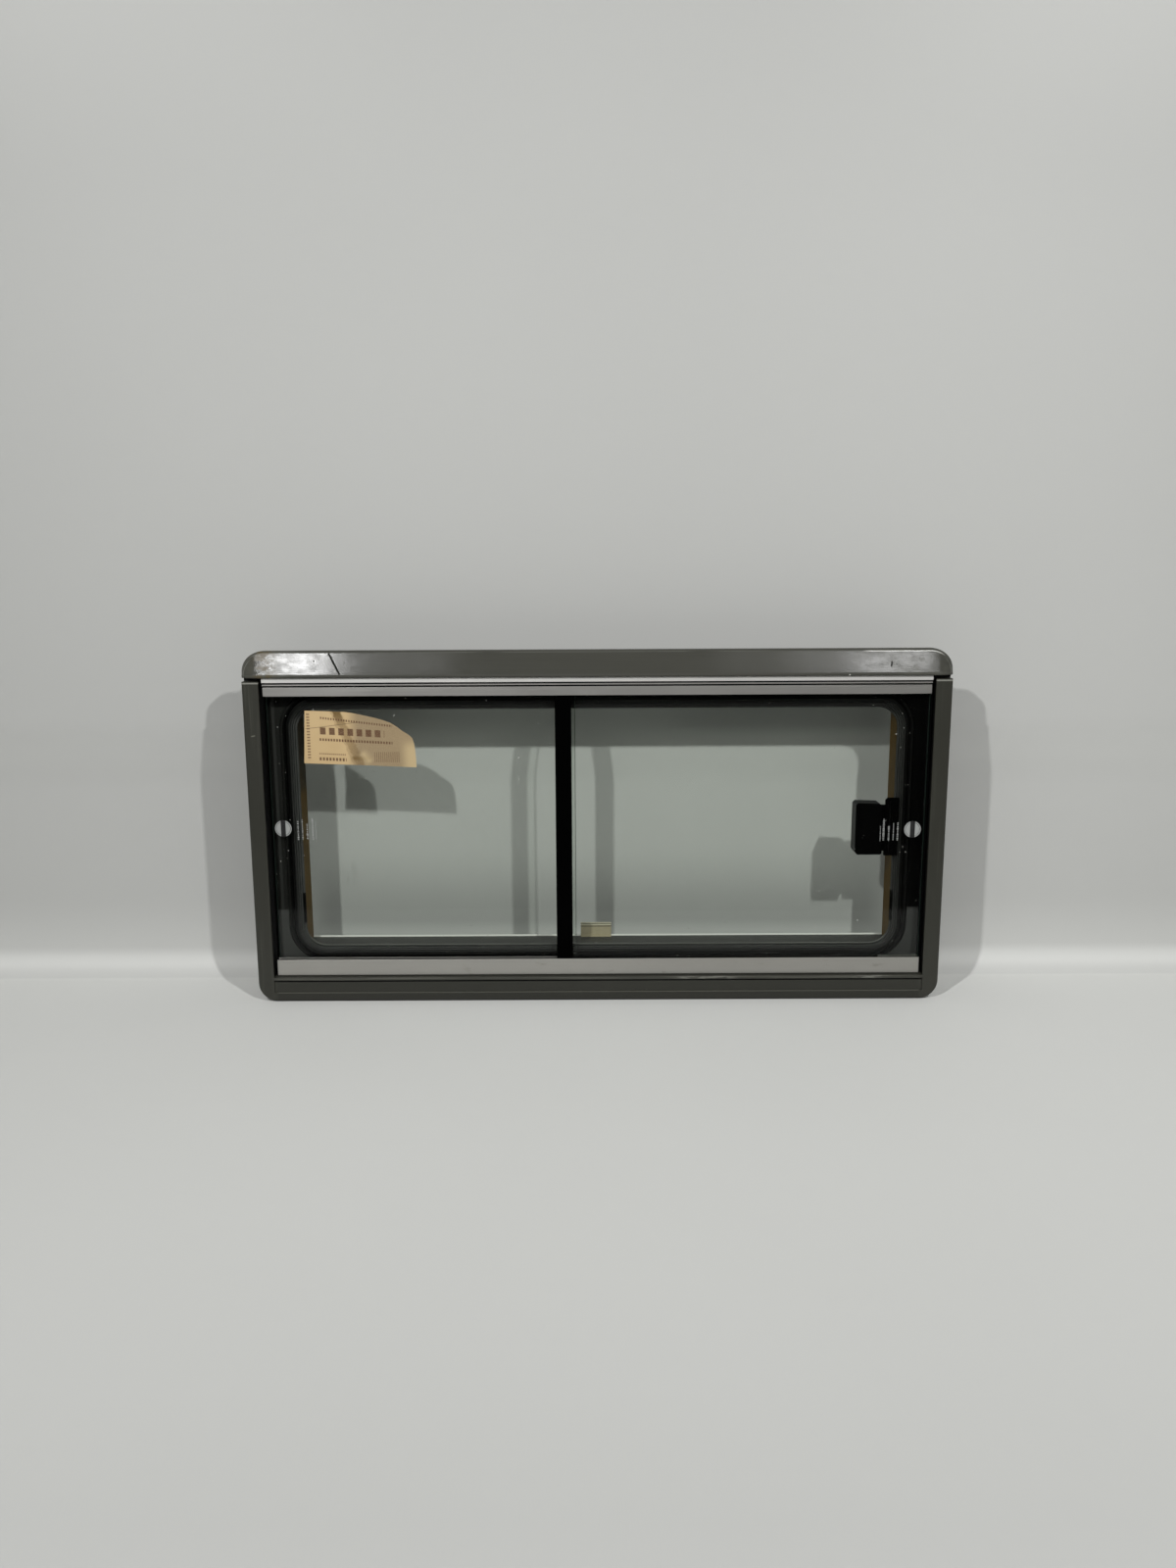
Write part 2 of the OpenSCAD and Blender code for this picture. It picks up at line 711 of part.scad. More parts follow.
// Keeper: front plate with a window for the beak and a leg along the lining
module latch_keeper() {
    leg_x1 = open_half - fit / 2;
    leg_t = 5;
    leg_in = 8;
    leg_y1 = body_depth - 12;
    color([0.03, 0.03, 0.03]) difference() {
        union() {
            through_y(keeper_y0, keeper_y1) polygon([
                [keeper_x0, keeper_z0], [keeper_x1, keeper_z0], [keeper_x1, keeper_z1],
                [keeper_x0 + keeper_cut, keeper_z1], [keeper_x0, keeper_z1 - keeper_cut]]);
            span([leg_x1 - leg_t, keeper_y0 + 1, keeper_z0 + leg_in],
                 [leg_x1, leg_y1, keeper_z1 - leg_in]);
        }
        span([hook_x, keeper_y0 - 1, bolt_z0 - fit],
             [tip_x + 2 * fit, keeper_y1 + 1, bolt_z1 + beak_h + fit]);
        span([keeper_x0 - 1, keeper_y0 - 1, bolt_z0 - fit],
             [hook_x + 1, keeper_y1 + 1, bolt_z1 + fit]);
    }
}

// Rubber buffers let into the bead's inner edge
module buffer(side) {
    color([0.02, 0.02, 0.02]) mirror([side < 0 ? 1 : 0, 0, 0])
        span([open_half - 0.3, gasket_y0, buffer_z0], [open_half + buffer_w, plate_y0, buffer_z1]);
}
module buffer_left() {
    buffer(-1);
}
module buffer_right() {
    buffer(1);
}

// Light trim strip along the rear edge of the sill lining
module sill_trim() {
    half = open_half - fit;
    color([0.75, 0.75, 0.72]) span([-half, body_depth - trim_t, open_z0],
        [half, body_depth, open_z0 + trim_h]);
}

// Small spring clip that stands in front of the trim strip
module sill_clip() {
    z0 = open_z0;
    z1 = z0 + clip_h;
    bend_z = z1 - clip_lip;
    color([0.72, 0.66, 0.52]) translate([clip_x, body_depth - trim_t - fit, 0])
        rotate([90, 0, 90]) linear_extrude(clip_w, center = true) polygon([
            [-clip_foot, z0], [0, z0], [0, bend_z], [-clip_lip, z1],
            [-clip_lip - clip_t, z1 - clip_t / 2], [-clip_t, bend_z - clip_t / 2],
            [-clip_t, z0 + clip_t], [-clip_foot, z0 + clip_t]]);
}

outer_frame();
top_hood();
plate_left();
plate_right();
plate_sill();
plate_head();
lining_left();
lining_right();
lining_sill();
lining_head();
gasket_bead();
gasket_lip();
bottom_track();
top_track();
outer_pane();
inner_pane();
outer_glides();
inner_glides();
meeting_stile();
stile_brush();
jamb_seal_left();
jamb_seal_right();
latch_pad();
latch_body();
latch_bolt();
latch_lever();
latch_keeper();
buffer_left();
buffer_right();
sill_trim();
sill_clip();
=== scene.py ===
import bpy
import bmesh
import math
import random
from mathutils import Matrix, Vector


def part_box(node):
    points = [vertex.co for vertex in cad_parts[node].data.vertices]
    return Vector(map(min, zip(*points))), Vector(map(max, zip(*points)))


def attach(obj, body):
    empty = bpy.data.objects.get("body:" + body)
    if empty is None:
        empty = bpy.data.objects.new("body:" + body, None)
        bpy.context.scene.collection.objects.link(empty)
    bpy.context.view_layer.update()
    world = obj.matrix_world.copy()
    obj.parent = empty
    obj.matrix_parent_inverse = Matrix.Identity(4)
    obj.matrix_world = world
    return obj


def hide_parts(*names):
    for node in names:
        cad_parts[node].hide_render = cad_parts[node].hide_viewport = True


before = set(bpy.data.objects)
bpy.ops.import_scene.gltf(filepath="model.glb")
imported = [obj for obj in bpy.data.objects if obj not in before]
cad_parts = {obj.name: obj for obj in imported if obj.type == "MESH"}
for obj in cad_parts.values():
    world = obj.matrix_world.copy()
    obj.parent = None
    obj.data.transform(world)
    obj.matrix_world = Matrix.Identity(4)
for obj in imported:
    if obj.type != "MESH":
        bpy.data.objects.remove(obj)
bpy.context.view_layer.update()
mm = 0.001
print("window frame loaded:", len(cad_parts), "nodes")


class Wire:
    # one shader socket that takes part in plain sums
    def __init__(self, finish, socket):
        self.finish = finish
        self.socket = socket

    def __add__(self, other):
        return self.finish.maths("ADD", self, other)

    __radd__ = __add__

    def __sub__(self, other):
        return self.finish.maths("SUBTRACT", self, other)

    def __rsub__(self, other):
        return self.finish.maths("SUBTRACT", other, self)

    def __mul__(self, other):
        return self.finish.maths("MULTIPLY", self, other)

    __rmul__ = __mul__

    def __truediv__(self, other):
        return self.finish.maths("DIVIDE", self, other)

    def __rtruediv__(self, other):
        return self.finish.maths("DIVIDE", other, self)

    def __pow__(self, other):
        return self.finish.maths("POWER", self, other)

    def __abs__(self):
        return self.finish.maths("ABSOLUTE", self)


class Finish:
    # a new material, or the world's own nodes
    def __init__(self, name, tree=None):
        if tree is None:
            self.material = bpy.data.materials.new(name)
            self.material.use_nodes = True
        self.tree = tree or self.material.node_tree
        self.tree.nodes.clear()
        # where on the object, in metres
        if tree is None:
            self.spot = self.node("TexCoord", output="Object")
            self.x, self.y, self.z = self.parts(self.spot)

    # any node: its type, its settings, then the values or links of its sockets
    def node(self, kind, settings=None, inputs=None, output=0):
        made = self.tree.nodes.new("ShaderNode" + kind)
        for key, value in (settings or {}).items():
            setattr(made, key, value)
        for key, value in (inputs or {}).items():
            self.feed(made.inputs[key], value)
        return Wire(self, made.outputs[output]) if len(made.outputs) else None

    def feed(self, socket, value):
        if isinstance(value, Wire):
            self.tree.links.new(value.socket, socket)
        elif isinstance(value, tuple) and len(value) == 3 and socket.type == "RGBA":
            socket.default_value = (*value, 1)
        else:
            socket.default_value = value

    def maths(self, operation, *values):
        return self.node("Math", {"operation": operation}, dict(enumerate(values)))

    def clamp(self, value):
        return self.node("Math", {"operation": "ADD", "use_clamp": True}, {0: value, 1: 0.0})

    # the three numbers of a vector
    def parts(self, vector):
        split = self.node("SeparateXYZ", {}, {0: vector})
        return [Wire(self, s) for s in split.socket.node.outputs]

    # which way the surface looks
    def facing(self):
        return self.parts(self.node("NewGeometry", output="Normal"))

    # distance from an (x, z) point, seen from the front
    def away(self, x, z):
        return ((self.x - x) ** 2 + (self.z - z) ** 2) ** 0.5

    # noise from 0 to 1, its grain in sizes per metre along each axis
    def grain(self, sizes, detail=3.0, roughness=0.55, shift=0.0):
        scaled = self.node("VectorMath", {"operation": "MULTIPLY_ADD"},
                           {0: self.spot, 1: sizes, 2: (shift, shift * 0.7, shift * 1.3)})
        return self.node("TexNoise", {}, {"Vector": scaled, "Scale": 1.0, "Detail": detail,
                                          "Roughness": roughness})

    # 0 below low, 1 above high, soft between
    def rise(self, value, low, high):
        return self.node("MapRange", {"interpolation_type": "SMOOTHSTEP"},
                         {"Value": value, "From Min": low, "From Max": high})

    # 1 between low and high with soft edges
    def within(self, value, low, high, soft):
        return self.rise(value, low - soft, low + soft) * (1 - self.rise(value, high - soft, high + soft))

    # 1 on a thin line from one (x, z) point to another, in metres
    def streak(self, start, end, width, soft=0.5):
        (x0, z0), (x1, z1) = start, end
        length = math.hypot(x1 - x0, z1 - z0)
        ux, uz = (x1 - x0) / length, (z1 - z0) / length
        dx, dz = self.x - x0, self.z - z0
        along = dx * ux + dz * uz
        across = abs(dx * -uz + dz * ux)
        return (1 - self.rise(across, width * (1 - soft), width * (1 + soft))) * \
            self.within(along, 0, length, width)

    # two colours mixed, the factor kept between 0 and 1
    def blend(self, factor, first, second):
        return self.node("Mix", {"data_type": "RGBA"}, {0: factor, 6: first, 7: second}, output=2)

    def bump(self, height, distance, strength=0.5):
        return self.node("Bump", {}, {"Height": height, "Distance": distance, "Strength": strength})

    # values that are the same all over go straight on the sockets, by name
    def surface(self, **values):
        return self.node("BsdfPrincipled", {}, {name.replace("_", " "): v for name, v in values.items()})

    def show(self, shader):
        self.node("OutputMaterial", {}, {"Surface": shader})
        return self.material


# a colour from its 0 to 255 screen values
def screen(*levels):
    shares = [max(level, 0) / 255 for level in levels]
    return tuple(v / 12.92 if v <= 0.04045 else ((v + 0.055) / 1.055) ** 2.4 for v in shares)


# a grey, warm adds yellow
def grey(level, warm=0.0):
    return screen(level + warm * 0.3, level + warm * 0.3, level - warm)


# camera, as the photograph was taken
view = dict(place=(-0.0128, -1.559, 0.5717), pitch=10.47, roll=-0.27, focus=1200, height=1600)
camera = bpy.data.objects.new("camera", bpy.data.cameras.new("camera"))
bpy.context.scene.collection.objects.link(camera)
camera.data.sensor_width = 36
camera.data.lens = 36 * view["focus"] / view["height"]
camera.data.clip_start = 0.05
camera.matrix_world = (Matrix.Translation(view["place"])
                       @ Matrix.Rotation(math.radians(90 - view["pitch"]), 4, "X")
                       @ Matrix.Rotation(math.radians(view["roll"]), 4, "Z"))
bpy.context.scene.camera = camera
bpy.context.scene.view_settings.view_transform = "Standard"


def addMesh(name, verts, faces, materials, smooth, slots=None):
    mesh = bpy.data.meshes.new(name)
    mesh.from_pydata(verts, [], faces)
    return dress(name, mesh, materials, smooth, slots)


# a mesh becomes a piece; slots tells each face's material
def dress(name, mesh, materials, smooth, slots=None):
    mesh.validate()
    bm = bmesh.new()
    bm.from_mesh(mesh)
    bmesh.ops.recalc_face_normals(bm, faces=bm.faces)
    bm.to_mesh(mesh)
    bm.free()
    mesh.materials.clear()
    for material in materials if isinstance(materials, list) else [materials]:
        mesh.materials.append(material)
    if slots:
        for face in mesh.polygons:
            face.material_index = slots(face)
    mesh.polygons.foreach_set("use_smooth", [True] * len(mesh.polygons))
    mesh.set_sharp_from_angle(angle=math.radians(smooth))
    piece = bpy.data.objects.new(name, mesh)
    bpy.context.scene.collection.objects.link(piece)
    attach(piece, "root")
    return piece


def evenShade(piece):
    shade = piece.modifiers.new("evenShade", "WEIGHTED_NORMAL")
    shade.keep_sharp = True
    shade.weight = 90
    return piece


# a copy of a node's shape, its edges sharper than the angle rounded
def softened(name, node, width, material, steps, angle=28):
    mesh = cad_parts[node].data.copy()
    bm = bmesh.new()
    bm.from_mesh(mesh)
    bmesh.ops.remove_doubles(bm, verts=bm.verts, dist=2e-6)
    bmesh.ops.dissolve_limit(bm, angle_limit=math.radians(0.5), verts=bm.verts, edges=bm.edges)
    crisp = [e for e in bm.edges if len(e.link_faces) == 2
             and e.calc_face_angle(0) > math.radians(angle)]
    bmesh.ops.bevel(bm, geom=crisp, offset=width, offset_type="OFFSET", segments=steps,
                    profile=0.5, affect="EDGES", clamp_overlap=True)
    bm.to_mesh(mesh)
    bm.free()
    mesh.name = name
    piece = dress(name, mesh, material, 40)
    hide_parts(node)
    return evenShade(piece)


# joins rings of points, each with the same count, into one skin with its ends closed
def loft(name, stations, material, smooth, closed=False):
    verts, faces = [], []
    count = len(stations[0])
    for ring in stations:
        verts += ring
    rings = len(stations)
    for i in range(rings if closed else rings - 1):
        a, b = i * count, (i + 1) % rings * count
        for j in range(count):
            k = (j + 1) % count
            faces.append((a + j, a + k, b + k, b + j))
    if not closed:
        faces.append(tuple(range(count)))
        faces.append(tuple(range((rings - 1) * count, rings * count)))
    return addMesh(name, verts, faces, material, smooth)


# points along an arc, its angles in degrees
def arcPoints(cx, cy, r, start, end, steps):
    return [(cx + r * math.cos(math.radians(start + (end - start) * i / steps)),
             cy + r * math.sin(math.radians(start + (end - start) * i / steps)))
            for i in range(steps + 1)]


# stage: pale floor and backdrop
stage = dict(floor=-0.0173, wall=0.11, lean=0.018, leanFrom=0.26, bend=0.04, wide=4.0, deep=5.0, tall=4.0,
             shade=(1.0, 1.008, 0.975), wallTone=0.46, topTone=0.40, nearTone=0.445, farTone=0.685,
             bendGlow=0.16, bendShade=0.13, leanGlow=0.11, rightGlow=0.08, cornerGlow=0.15,
             lowShade=0.22, headShade=0.25, reach=-0.415)


def paperMaterial():
    f = Finish("backdrop_paper")
    weave = f.grain((40, 40, 900), 2.0) * 0.5 + f.grain((900, 40, 40), 2.0, shift=3) * 0.5
    soft = f.grain((1.3, 1.3, 1.3), 2.0)
    # painted shade evens out the lamps' light: the floor is darker towards the camera, where the lamps are
    # near, and the wall duller upwards
    s = stage
    floorTone = f.node("MapRange", {}, {"Value": f.y, "From Min": -0.92, "From Max": 0.065,
                                        "To Min": s["nearTone"], "To Max": s["farTone"]})
    wallTone = f.node("MapRange", {}, {"Value": f.z, "From Min": 0.25, "From Max": 1.5,
                                       "To Min": s["wallTone"], "To Max": s["topTone"]})
    rise = (f.z - s["floor"]) / s["bend"]
    up = f.rise(rise, 0.0, 1.0)
    tone = floorTone * (1 - up) + up * wallTone
    # evens out how the bend, the lean and the far corners catch the light
    tone = tone * (1 + f.rise(rise, 0.2, 0.7) * (1 - f.rise(rise, 0.6, 3.0)) * s["bendGlow"]
                   - f.rise(rise, 0.0, 0.05) * (1 - f.rise(rise, 0.1, 0.4)) * s["bendShade"])
    tone = tone * (1 + f.within(f.z, 0.285, 0.335, 0.025) * s["leanGlow"])
    tone = tone * (1 + f.rise(f.x, 0.1, 0.8) * s["rightGlow"])
    tone = tone * (1 + f.rise(f.z, 1.05, 1.42) * f.rise(abs(f.x), 0.2, 0.8) * s["cornerGlow"])
    # less light reaches the wall low behind the glass, and under the head on the right
    behindGlass = 1 - f.rise(abs(f.x), 0.39, 0.43)
    low = (1 - f.rise(f.z, 0.07, 0.18)) * f.rise(f.z, 0.040, 0.062)
    underHead = f.rise(f.x, 0.0, 0.2) * f.within(f.z, 0.342, 0.400, 0.012)
    tone = tone * (1 - behindGlass * low * s["lowShade"]) * (1 - behindGlass * underHead * s["headShade"])
    tone = tone * (0.96 + f.clamp(soft * 0.8 + weave * 0.2) * 0.08)
    base = f.node("VectorMath", {"operation": "SCALE"}, {0: s["shade"], "Scale": tone})
    paper = f.surface(Base_Color=base, Roughness=0.9, Normal=f.bump(weave, 0.0002, 0.4))
    # seen in the glass, the floor ends at its reach
    rays = f.node("LightPath", output="Is Glossy Ray")
    past = f.rise(f.y * -1, -s["reach"], 0.012 - s["reach"]) * rays
    dim = f.node("BsdfDiffuse", {}, {"Color": (0.01, 0.01, 0.01)})
    seen = f.node("MixShader", {}, {0: past, 1: paper, 2: dim})
    behind = f.node("NewGeometry", output="Backfacing")
    clear = f.node("BsdfTransparent")
    return f.show(f.node("MixShader", {}, {0: behind, 1: seen, 2: clear}))


def makeStage():
    s = stage
    path = [(-s["deep"], s["floor"])]
    path += arcPoints(s["wall"] - s["bend"], s["floor"] + s["bend"], s["bend"], -90, 0, 15)
    path += [(s["wall"] - s["lean"] * (1 - math.cos(math.pi * i / 10)) / 2, s["leanFrom"] + 0.01 * i)
             for i in range(11)]
    path += [(s["wall"] - s["lean"], s["floor"] + s["tall"])]
    verts = [(x, y, z) for y, z in path for x in (-s["wide"], s["wide"])]
    faces = [(2 * i, 2 * i + 1, 2 * i + 3, 2 * i + 2) for i in range(len(path) - 1)]
    mesh = bpy.data.meshes.new("backdrop")
    mesh.from_pydata(verts, [], faces)
    mesh.polygons.foreach_set("use_smooth", [True] * len(mesh.polygons))
    mesh.materials.append(paperMaterial())
    backdrop = bpy.data.objects.new("backdrop", mesh)
    bpy.context.scene.collection.objects.link(backdrop)


makeStage()
print("stage ready")

# light: two lamps that cast the shadows, six panels that only gloss shows (x, width, power), a dim room
light = dict(size=0.06, power=25.5, spots=((-0.84, -1.62, 1.6), (0.87, -1.62, 1.6)), aim=(0, 0.1, 0.25),
             shine=((-0.8245, 0.181, 7.9), (-0.675, 0.11, 0.32), (-0.51, 0.22, 0.44), (0.84, 0.22, 3.1),
                    (0.64, 0.18, 0.6), (0.45, 0.20, 0.2)),
             shineTall=0.17, shineHeight=1.15, shineFront=-1.62,
             ambient=0.15, room=0.012, ceiling=0.4, rear=0.35, behind=0.62)


def makeLamp(place, size, power, glossy):
    lamp = bpy.data.lights.new("lamp", "AREA")
    lamp.shape = "RECTANGLE"
    lamp.size, lamp.size_y = size
    lamp.energy = power
    holder = bpy.data.objects.new("lamp", lamp)
    bpy.context.scene.collection.objects.link(holder)
    holder.location = place
    aim = Vector(light["aim"]) - holder.location
    holder.rotation_mode = "QUATERNION"
    holder.rotation_quaternion = aim.to_track_quat("-Z", "Y")
    holder.visible_glossy = glossy
    holder.visible_diffuse = not glossy


def makeLamps():
    for place in light["spots"]:
        makeLamp(place, (light["size"], light["size"]), light["power"], False)
    for x, wide, power in light["shine"]:
        makeLamp((x, light["shineFront"], light["shineHeight"]), (wide, light["shineTall"]), power, True)


def makeRoom():
    world = bpy.data.worlds.new("room")
    bpy.context.scene.world = world
    world.use_nodes = True
    f = Finish("room", world.node_tree)
    y, z = f.parts(f.node("TexCoord", output="Generated"))[1:]
    overhead, rear = f.rise(z, 0.35, 0.85), f.rise(y, -0.2, 0.5)
    shine = light["room"] + overhead * light["ceiling"] + rear * light["rear"]
    path = f.node("LightPath")
    sees = {s.name: Wire(f, s) for s in path.socket.node.outputs}
    camera, glossy = sees["Is Camera Ray"], sees["Is Glossy Ray"]
    level = camera * light["behind"] + glossy * shine + (1 - camera) * (1 - glossy) * light["ambient"]
    glow = f.node("Background", {}, {"Color": (1.0, 1.0, 0.99), "Strength": level})
    f.node("OutputWorld", {}, {"Surface": glow})


makeLamps()
makeRoom()
print("light ready")


# olive grey outer moulding
moulding = dict(tone=grey(42, 5), light=grey(48, 5), dust=grey(82, 6), grain=0.06 * mm, rounding=0.55 * mm,
                betweenJambs=0.4416, jambFace=0.444, besideRail=0.4462,
                bead=(0.0135, 0.0172), beadDepth=(-0.019, -0.0155), groove=(0.0104, 0.0122),
                wornBead=((0.112, 0.185, 0.012), (0.352, 0.398, 0.010)),
                footBand=0.0180, footLine=(-0.0053, -0.0041), underside=-0.0155,
                jambTop=(0.4218, 0.4237), hoodGap=(0.4252, 0.4305), recess=(0.0185, 0.43),
                scuff=((-0.4585, 0.3525), (-0.4535, 0.3535)))


def mouldingMaterial():
    f, m = Finish("moulded_grey"), moulding
    fine = f.grain((1500, 1500, 1500), 2.0)
    cloudy = f.grain((9, 9, 14), 3.0)
    runs = f.grain((260, 260, 6), 3.0, shift=4)
    sideways = f.grain((7, 120, 260), 3.0, shift=9)
    base = f.blend(cloudy * 0.9 + (fine - 0.5) * 0.5, m["tone"], m["light"])
    # pale rub marks along the bead under the bottom track
    middle = 1 - f.rise(abs(f.x), m["betweenJambs"], m["betweenJambs"] + 0.6 * mm)
    onBead = f.within(f.z, *m["bead"], 0.8 * mm) * f.within(f.y, *m["beadDepth"], 0.8 * mm) * middle
    base = f.blend(onBead * 0.6, base, grey(66, 5))
    base = f.blend(onBead * f.rise(sideways, 0.48, 0.66) * 0.85, base, m["dust"])
    worn = sum(f.within(f.x, *ends) for ends in m["wornBead"])
    worn = worn * onBead * f.rise(f.grain((60, 200, 500), 3.0, shift=31), 0.42, 0.58)
    base = f.blend(worn * 0.8, base, grey(128, 6))
    # the foot band is a little darker, with a pale line near its lower edge, and painted shade darkens the
    # groove under the bead
    base = f.blend(middle * (1 - f.rise(f.z, m["footBand"], m["footBand"] + 1.0 * mm)) * 0.3, base, grey(30, 4))
    base = f.blend(middle * (1 - f.rise(f.z, -0.0050, -0.0046)) * 0.5, base, grey(34, 4))
    base = f.blend(f.within(f.z, *m["footLine"], 0.2 * mm) * middle * 0.8, base, grey(80, 6))
    base = f.blend(f.within(f.z, *m["groove"], 0.2 * mm) * middle * 0.85, base, grey(8, 1))
    # painted shadow along the bottom edge, where the moulding meets the floor
    base = f.blend((1 - f.rise(f.z, m["underside"], m["underside"] + 1.3 * mm)) * 0.8, base, grey(6, 1))
    # faint vertical runs on the jambs, and a painted highlight across the top of each
    onJamb = f.rise(abs(f.x), m["jambFace"], m["jambFace"] + 3 * mm)
    base = f.blend(onJamb * f.rise(runs, 0.55, 0.8) * 0.35, base, m["dust"])
    base = f.blend(f.within(f.z, *m["jambTop"], 0.3 * mm) * onJamb * 0.8, base, grey(135, 6))
    # shade in the gap under the hood and in the recess beside the rails
    inGap = f.within(f.z, *m["hoodGap"], 0.3 * mm) * f.rise(f.y, -0.0155, -0.0140)
    inRecess = 1 - f.rise(abs(f.x), m["besideRail"], m["besideRail"] + 0.6 * mm)
    inRecess = inRecess * f.rise(f.y, -0.0145, -0.0125) * f.within(f.z, *m["recess"], 0.5 * mm)
    base = f.blend(inGap + inRecess, base, grey(5))
    # the scuff near the top of the left jamb, and small pale specks
    base = f.blend(f.streak(*m["scuff"], 0.7 * mm) * 0.9, base, grey(105, 8))
    specks = f.rise(f.grain((420, 420, 420), 1.0, shift=21), 0.79, 0.83)
    base = f.blend(specks * 0.6, base, grey(120, 5))
    rough = 0.46 + (fine - 0.5) * 0.2 + runs * 0.06
    return f.show(f.surface(Base_Color=base, Roughness=f.clamp(rough),
                            Normal=f.bump(fine * 0.7 + cloudy * 0.3, m["grain"], 0.55)))


# drip hood, its face leaning back and its ends rounded
hood = dict(tone=grey(60, 4), light=grey(69, 4), paleEnd=grey(80, 5), rough=0.11, gloss=0.16,
            halfWidth=470.5 * mm, low=429.5 * mm, high=465 * mm, footDepth=20 * mm, topDepth=12.5 * mm,
            corner=33 * mm, end=20 * mm, edge=4 * mm,
            tonguePlace=(0, -0.0029, 0.4401), tongueSize=(0.9086, 0.0068, 0.0324),
            scratch=((-0.3522, 0.4620), (-0.3374, 0.4345)), nick=((0.3862, 0.4475), (0.3852, 0.4415)),
            ringSpot=(-0.3713, 0.4515), chip=(0.3306, 0.4310), dirtAt=-0.437, highlightTop=(0.352, 0.452))


def hoodMaterial():
    f, h = Finish("hood_grey"), hood
    fine = f.grain((1200, 1200, 1200), 2.0)
    brushed = f.grain((12, 300, 900), 3.0)
    patches = f.grain((18, 18, 40), 4.0, shift=5)
    base = f.blend(brushed * 0.7 + patches * 0.4 - 0.05, h["tone"], h["light"])
    # the hood is paler and mottled towards both ends
    ends = f.rise(abs(f.x), 0.33, 0.43) * f.rise(patches, 0.42, 0.62)
    base = f.blend(ends * 0.55, base, h["paleEnd"])
    # the long scratch, a short dark nick, a ring spot and a pale chip
    scratch = f.streak(*h["scratch"], 1.1 * mm) * (0.7 + fine * 0.6)
    nick = f.streak(*h["nick"], 0.9 * mm)
    away = f.away(*h["ringSpot"])
    ring, core = f.within(away, 1.2 * mm, 2.1 * mm, 0.4 * mm), 1 - f.rise(away, 0.9 * mm, 1.3 * mm)
    chip = 1 - f.rise(f.away(*h["chip"]), 0.6 * mm, 1.2 * mm)
    base = f.blend(scratch * 0.95, base, grey(14, 3))
    base = f.blend(nick, base, grey(8, 2))
    base = f.blend(ring * 0.5, base, grey(170, 5))
    base = f.blend(core, base, grey(10, 2))
    base = f.blend(chip, base, grey(205, 5))
    # brown dirt at the left end
    smudge = f.grain((90, 90, 140), 4.0, shift=14)
    dirt = (1 - f.rise(abs(f.x - h["dirtAt"]), 0.002, 0.022)) * f.rise(smudge, 0.38, 0.58)
    base = f.blend(dirt * 0.7, base, screen(84, 72, 46))
    # painted highlight lines round both rounded ends and along the top edge on the right
    outX = f.maths("MAXIMUM", abs(f.x) - (h["halfWidth"] - h["corner"]), 0.0)
    outZ = f.maths("MAXIMUM", f.z - (h["high"] - h["corner"]), 0.0)
    turn = (outX ** 2 + outZ ** 2) ** 0.5
    onFront = 1 - f.rise(f.y, -0.0100, -0.0080)
    rim = f.within(turn, 27.2 * mm, 28.2 * mm, 0.4 * mm) * f.rise(abs(f.x), 0.452, 0.462)
    rim = f.clamp(rim * 0.7 + f.within(turn, 29.8 * mm, 30.4 * mm, 0.3 * mm) * 0.4) * onFront
    base = f.blend(rim * f.rise(patches, 0.35, 0.55), base, grey(118, 4))
    topHighlight = f.within(turn, 28.8 * mm, 30.1 * mm, 0.4 * mm) * f.within(f.x, *h["highlightTop"], 0.006) * onFront
    base = f.blend(topHighlight * 0.8, base, grey(185, 4))
    rough = h["rough"] + (brushed - 0.5) * 0.06 + (patches - 0.5) * 0.14 + (smudge - 0.5) * 0.26
    rough = rough + (scratch + nick + core) * 0.5 + dirt * 0.09 + (1 - f.rise(f.z, 0.4328, 0.4345)) * 0.5
    return f.show(f.surface(Base_Color=base, Roughness=f.clamp(rough), Specular_IOR_Level=h["gloss"],
                            Normal=f.bump(brushed * 0.6 + fine * 0.3 - scratch * 0.8, 0.08 * mm)))


def makeHood():
    h = hood
    straight = h["halfWidth"] - h["corner"]
    # stations close together round each corner and wide apart between them
    curve = [straight + h["corner"] * math.sin(math.radians(i * 90 / 22)) for i in range(23)]
    stations = []
    for x in [-x for x in reversed(curve)] + [straight * (i / 12 - 1) for i in range(1, 24)] + curve:
        outX = max(0.0, abs(x) - straight)
        top = h["high"] - h["corner"] + math.sqrt(max(h["corner"] ** 2 - outX ** 2, 0))
        outE = max(0.0, abs(x) - (h["halfWidth"] - h["end"]))
        back = h["end"] - math.sqrt(max(h["end"] ** 2 - outE ** 2, 0))
        tall = top - h["low"]
        foot = h["footDepth"] - back
        lean = (h["footDepth"] - h["topDepth"]) * foot / h["footDepth"] * tall / (h["high"] - h["low"])
        head = foot - lean
        r = min(h["edge"], 0.42 * tall, 0.8 * head)
        section = [(0.0, h["low"])]
        section += arcPoints(-foot + r * 0.5, h["low"] + r * 0.5, r * 0.5, 270, 180, 5)
        section += arcPoints(-head + r, top - r, r, 172, 90, 8)
        section += [(0.0, top)]
        stations.append([(x, y, z) for y, z in section])
    piece = loft("drip_hood", stations, hoodMaterial(), 50)
    # room for the tongue that carries the hood
    cutter = bpy.data.meshes.new("tongue_room")
    bm = bmesh.new()
    room = Matrix.Translation(h["tonguePlace"]) @ Matrix.Diagonal((*h["tongueSize"], 1))
    bmesh.ops.create_cube(bm, size=1, matrix=room)
    bm.to_mesh(cutter)
    bm.free()
    block = bpy.data.objects.new("tongue_room", cutter)
    bpy.context.scene.collection.objects.link(block)
    cut = piece.modifiers.new("tongueRoom", "BOOLEAN")
    cut.object = block
    cut.solver = "EXACT"
    carved = bpy.data.meshes.new_from_object(piece.evaluated_get(bpy.context.evaluated_depsgraph_get()))
    piece.modifiers.clear()
    piece.data = carved
    bpy.data.objects.remove(block)
    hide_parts("top_hood")
    evenShade(piece)


softened("outer_moulding", "outer_frame", moulding["rounding"], mouldingMaterial(), 2)
makeHood()
print("moulding and hood made")


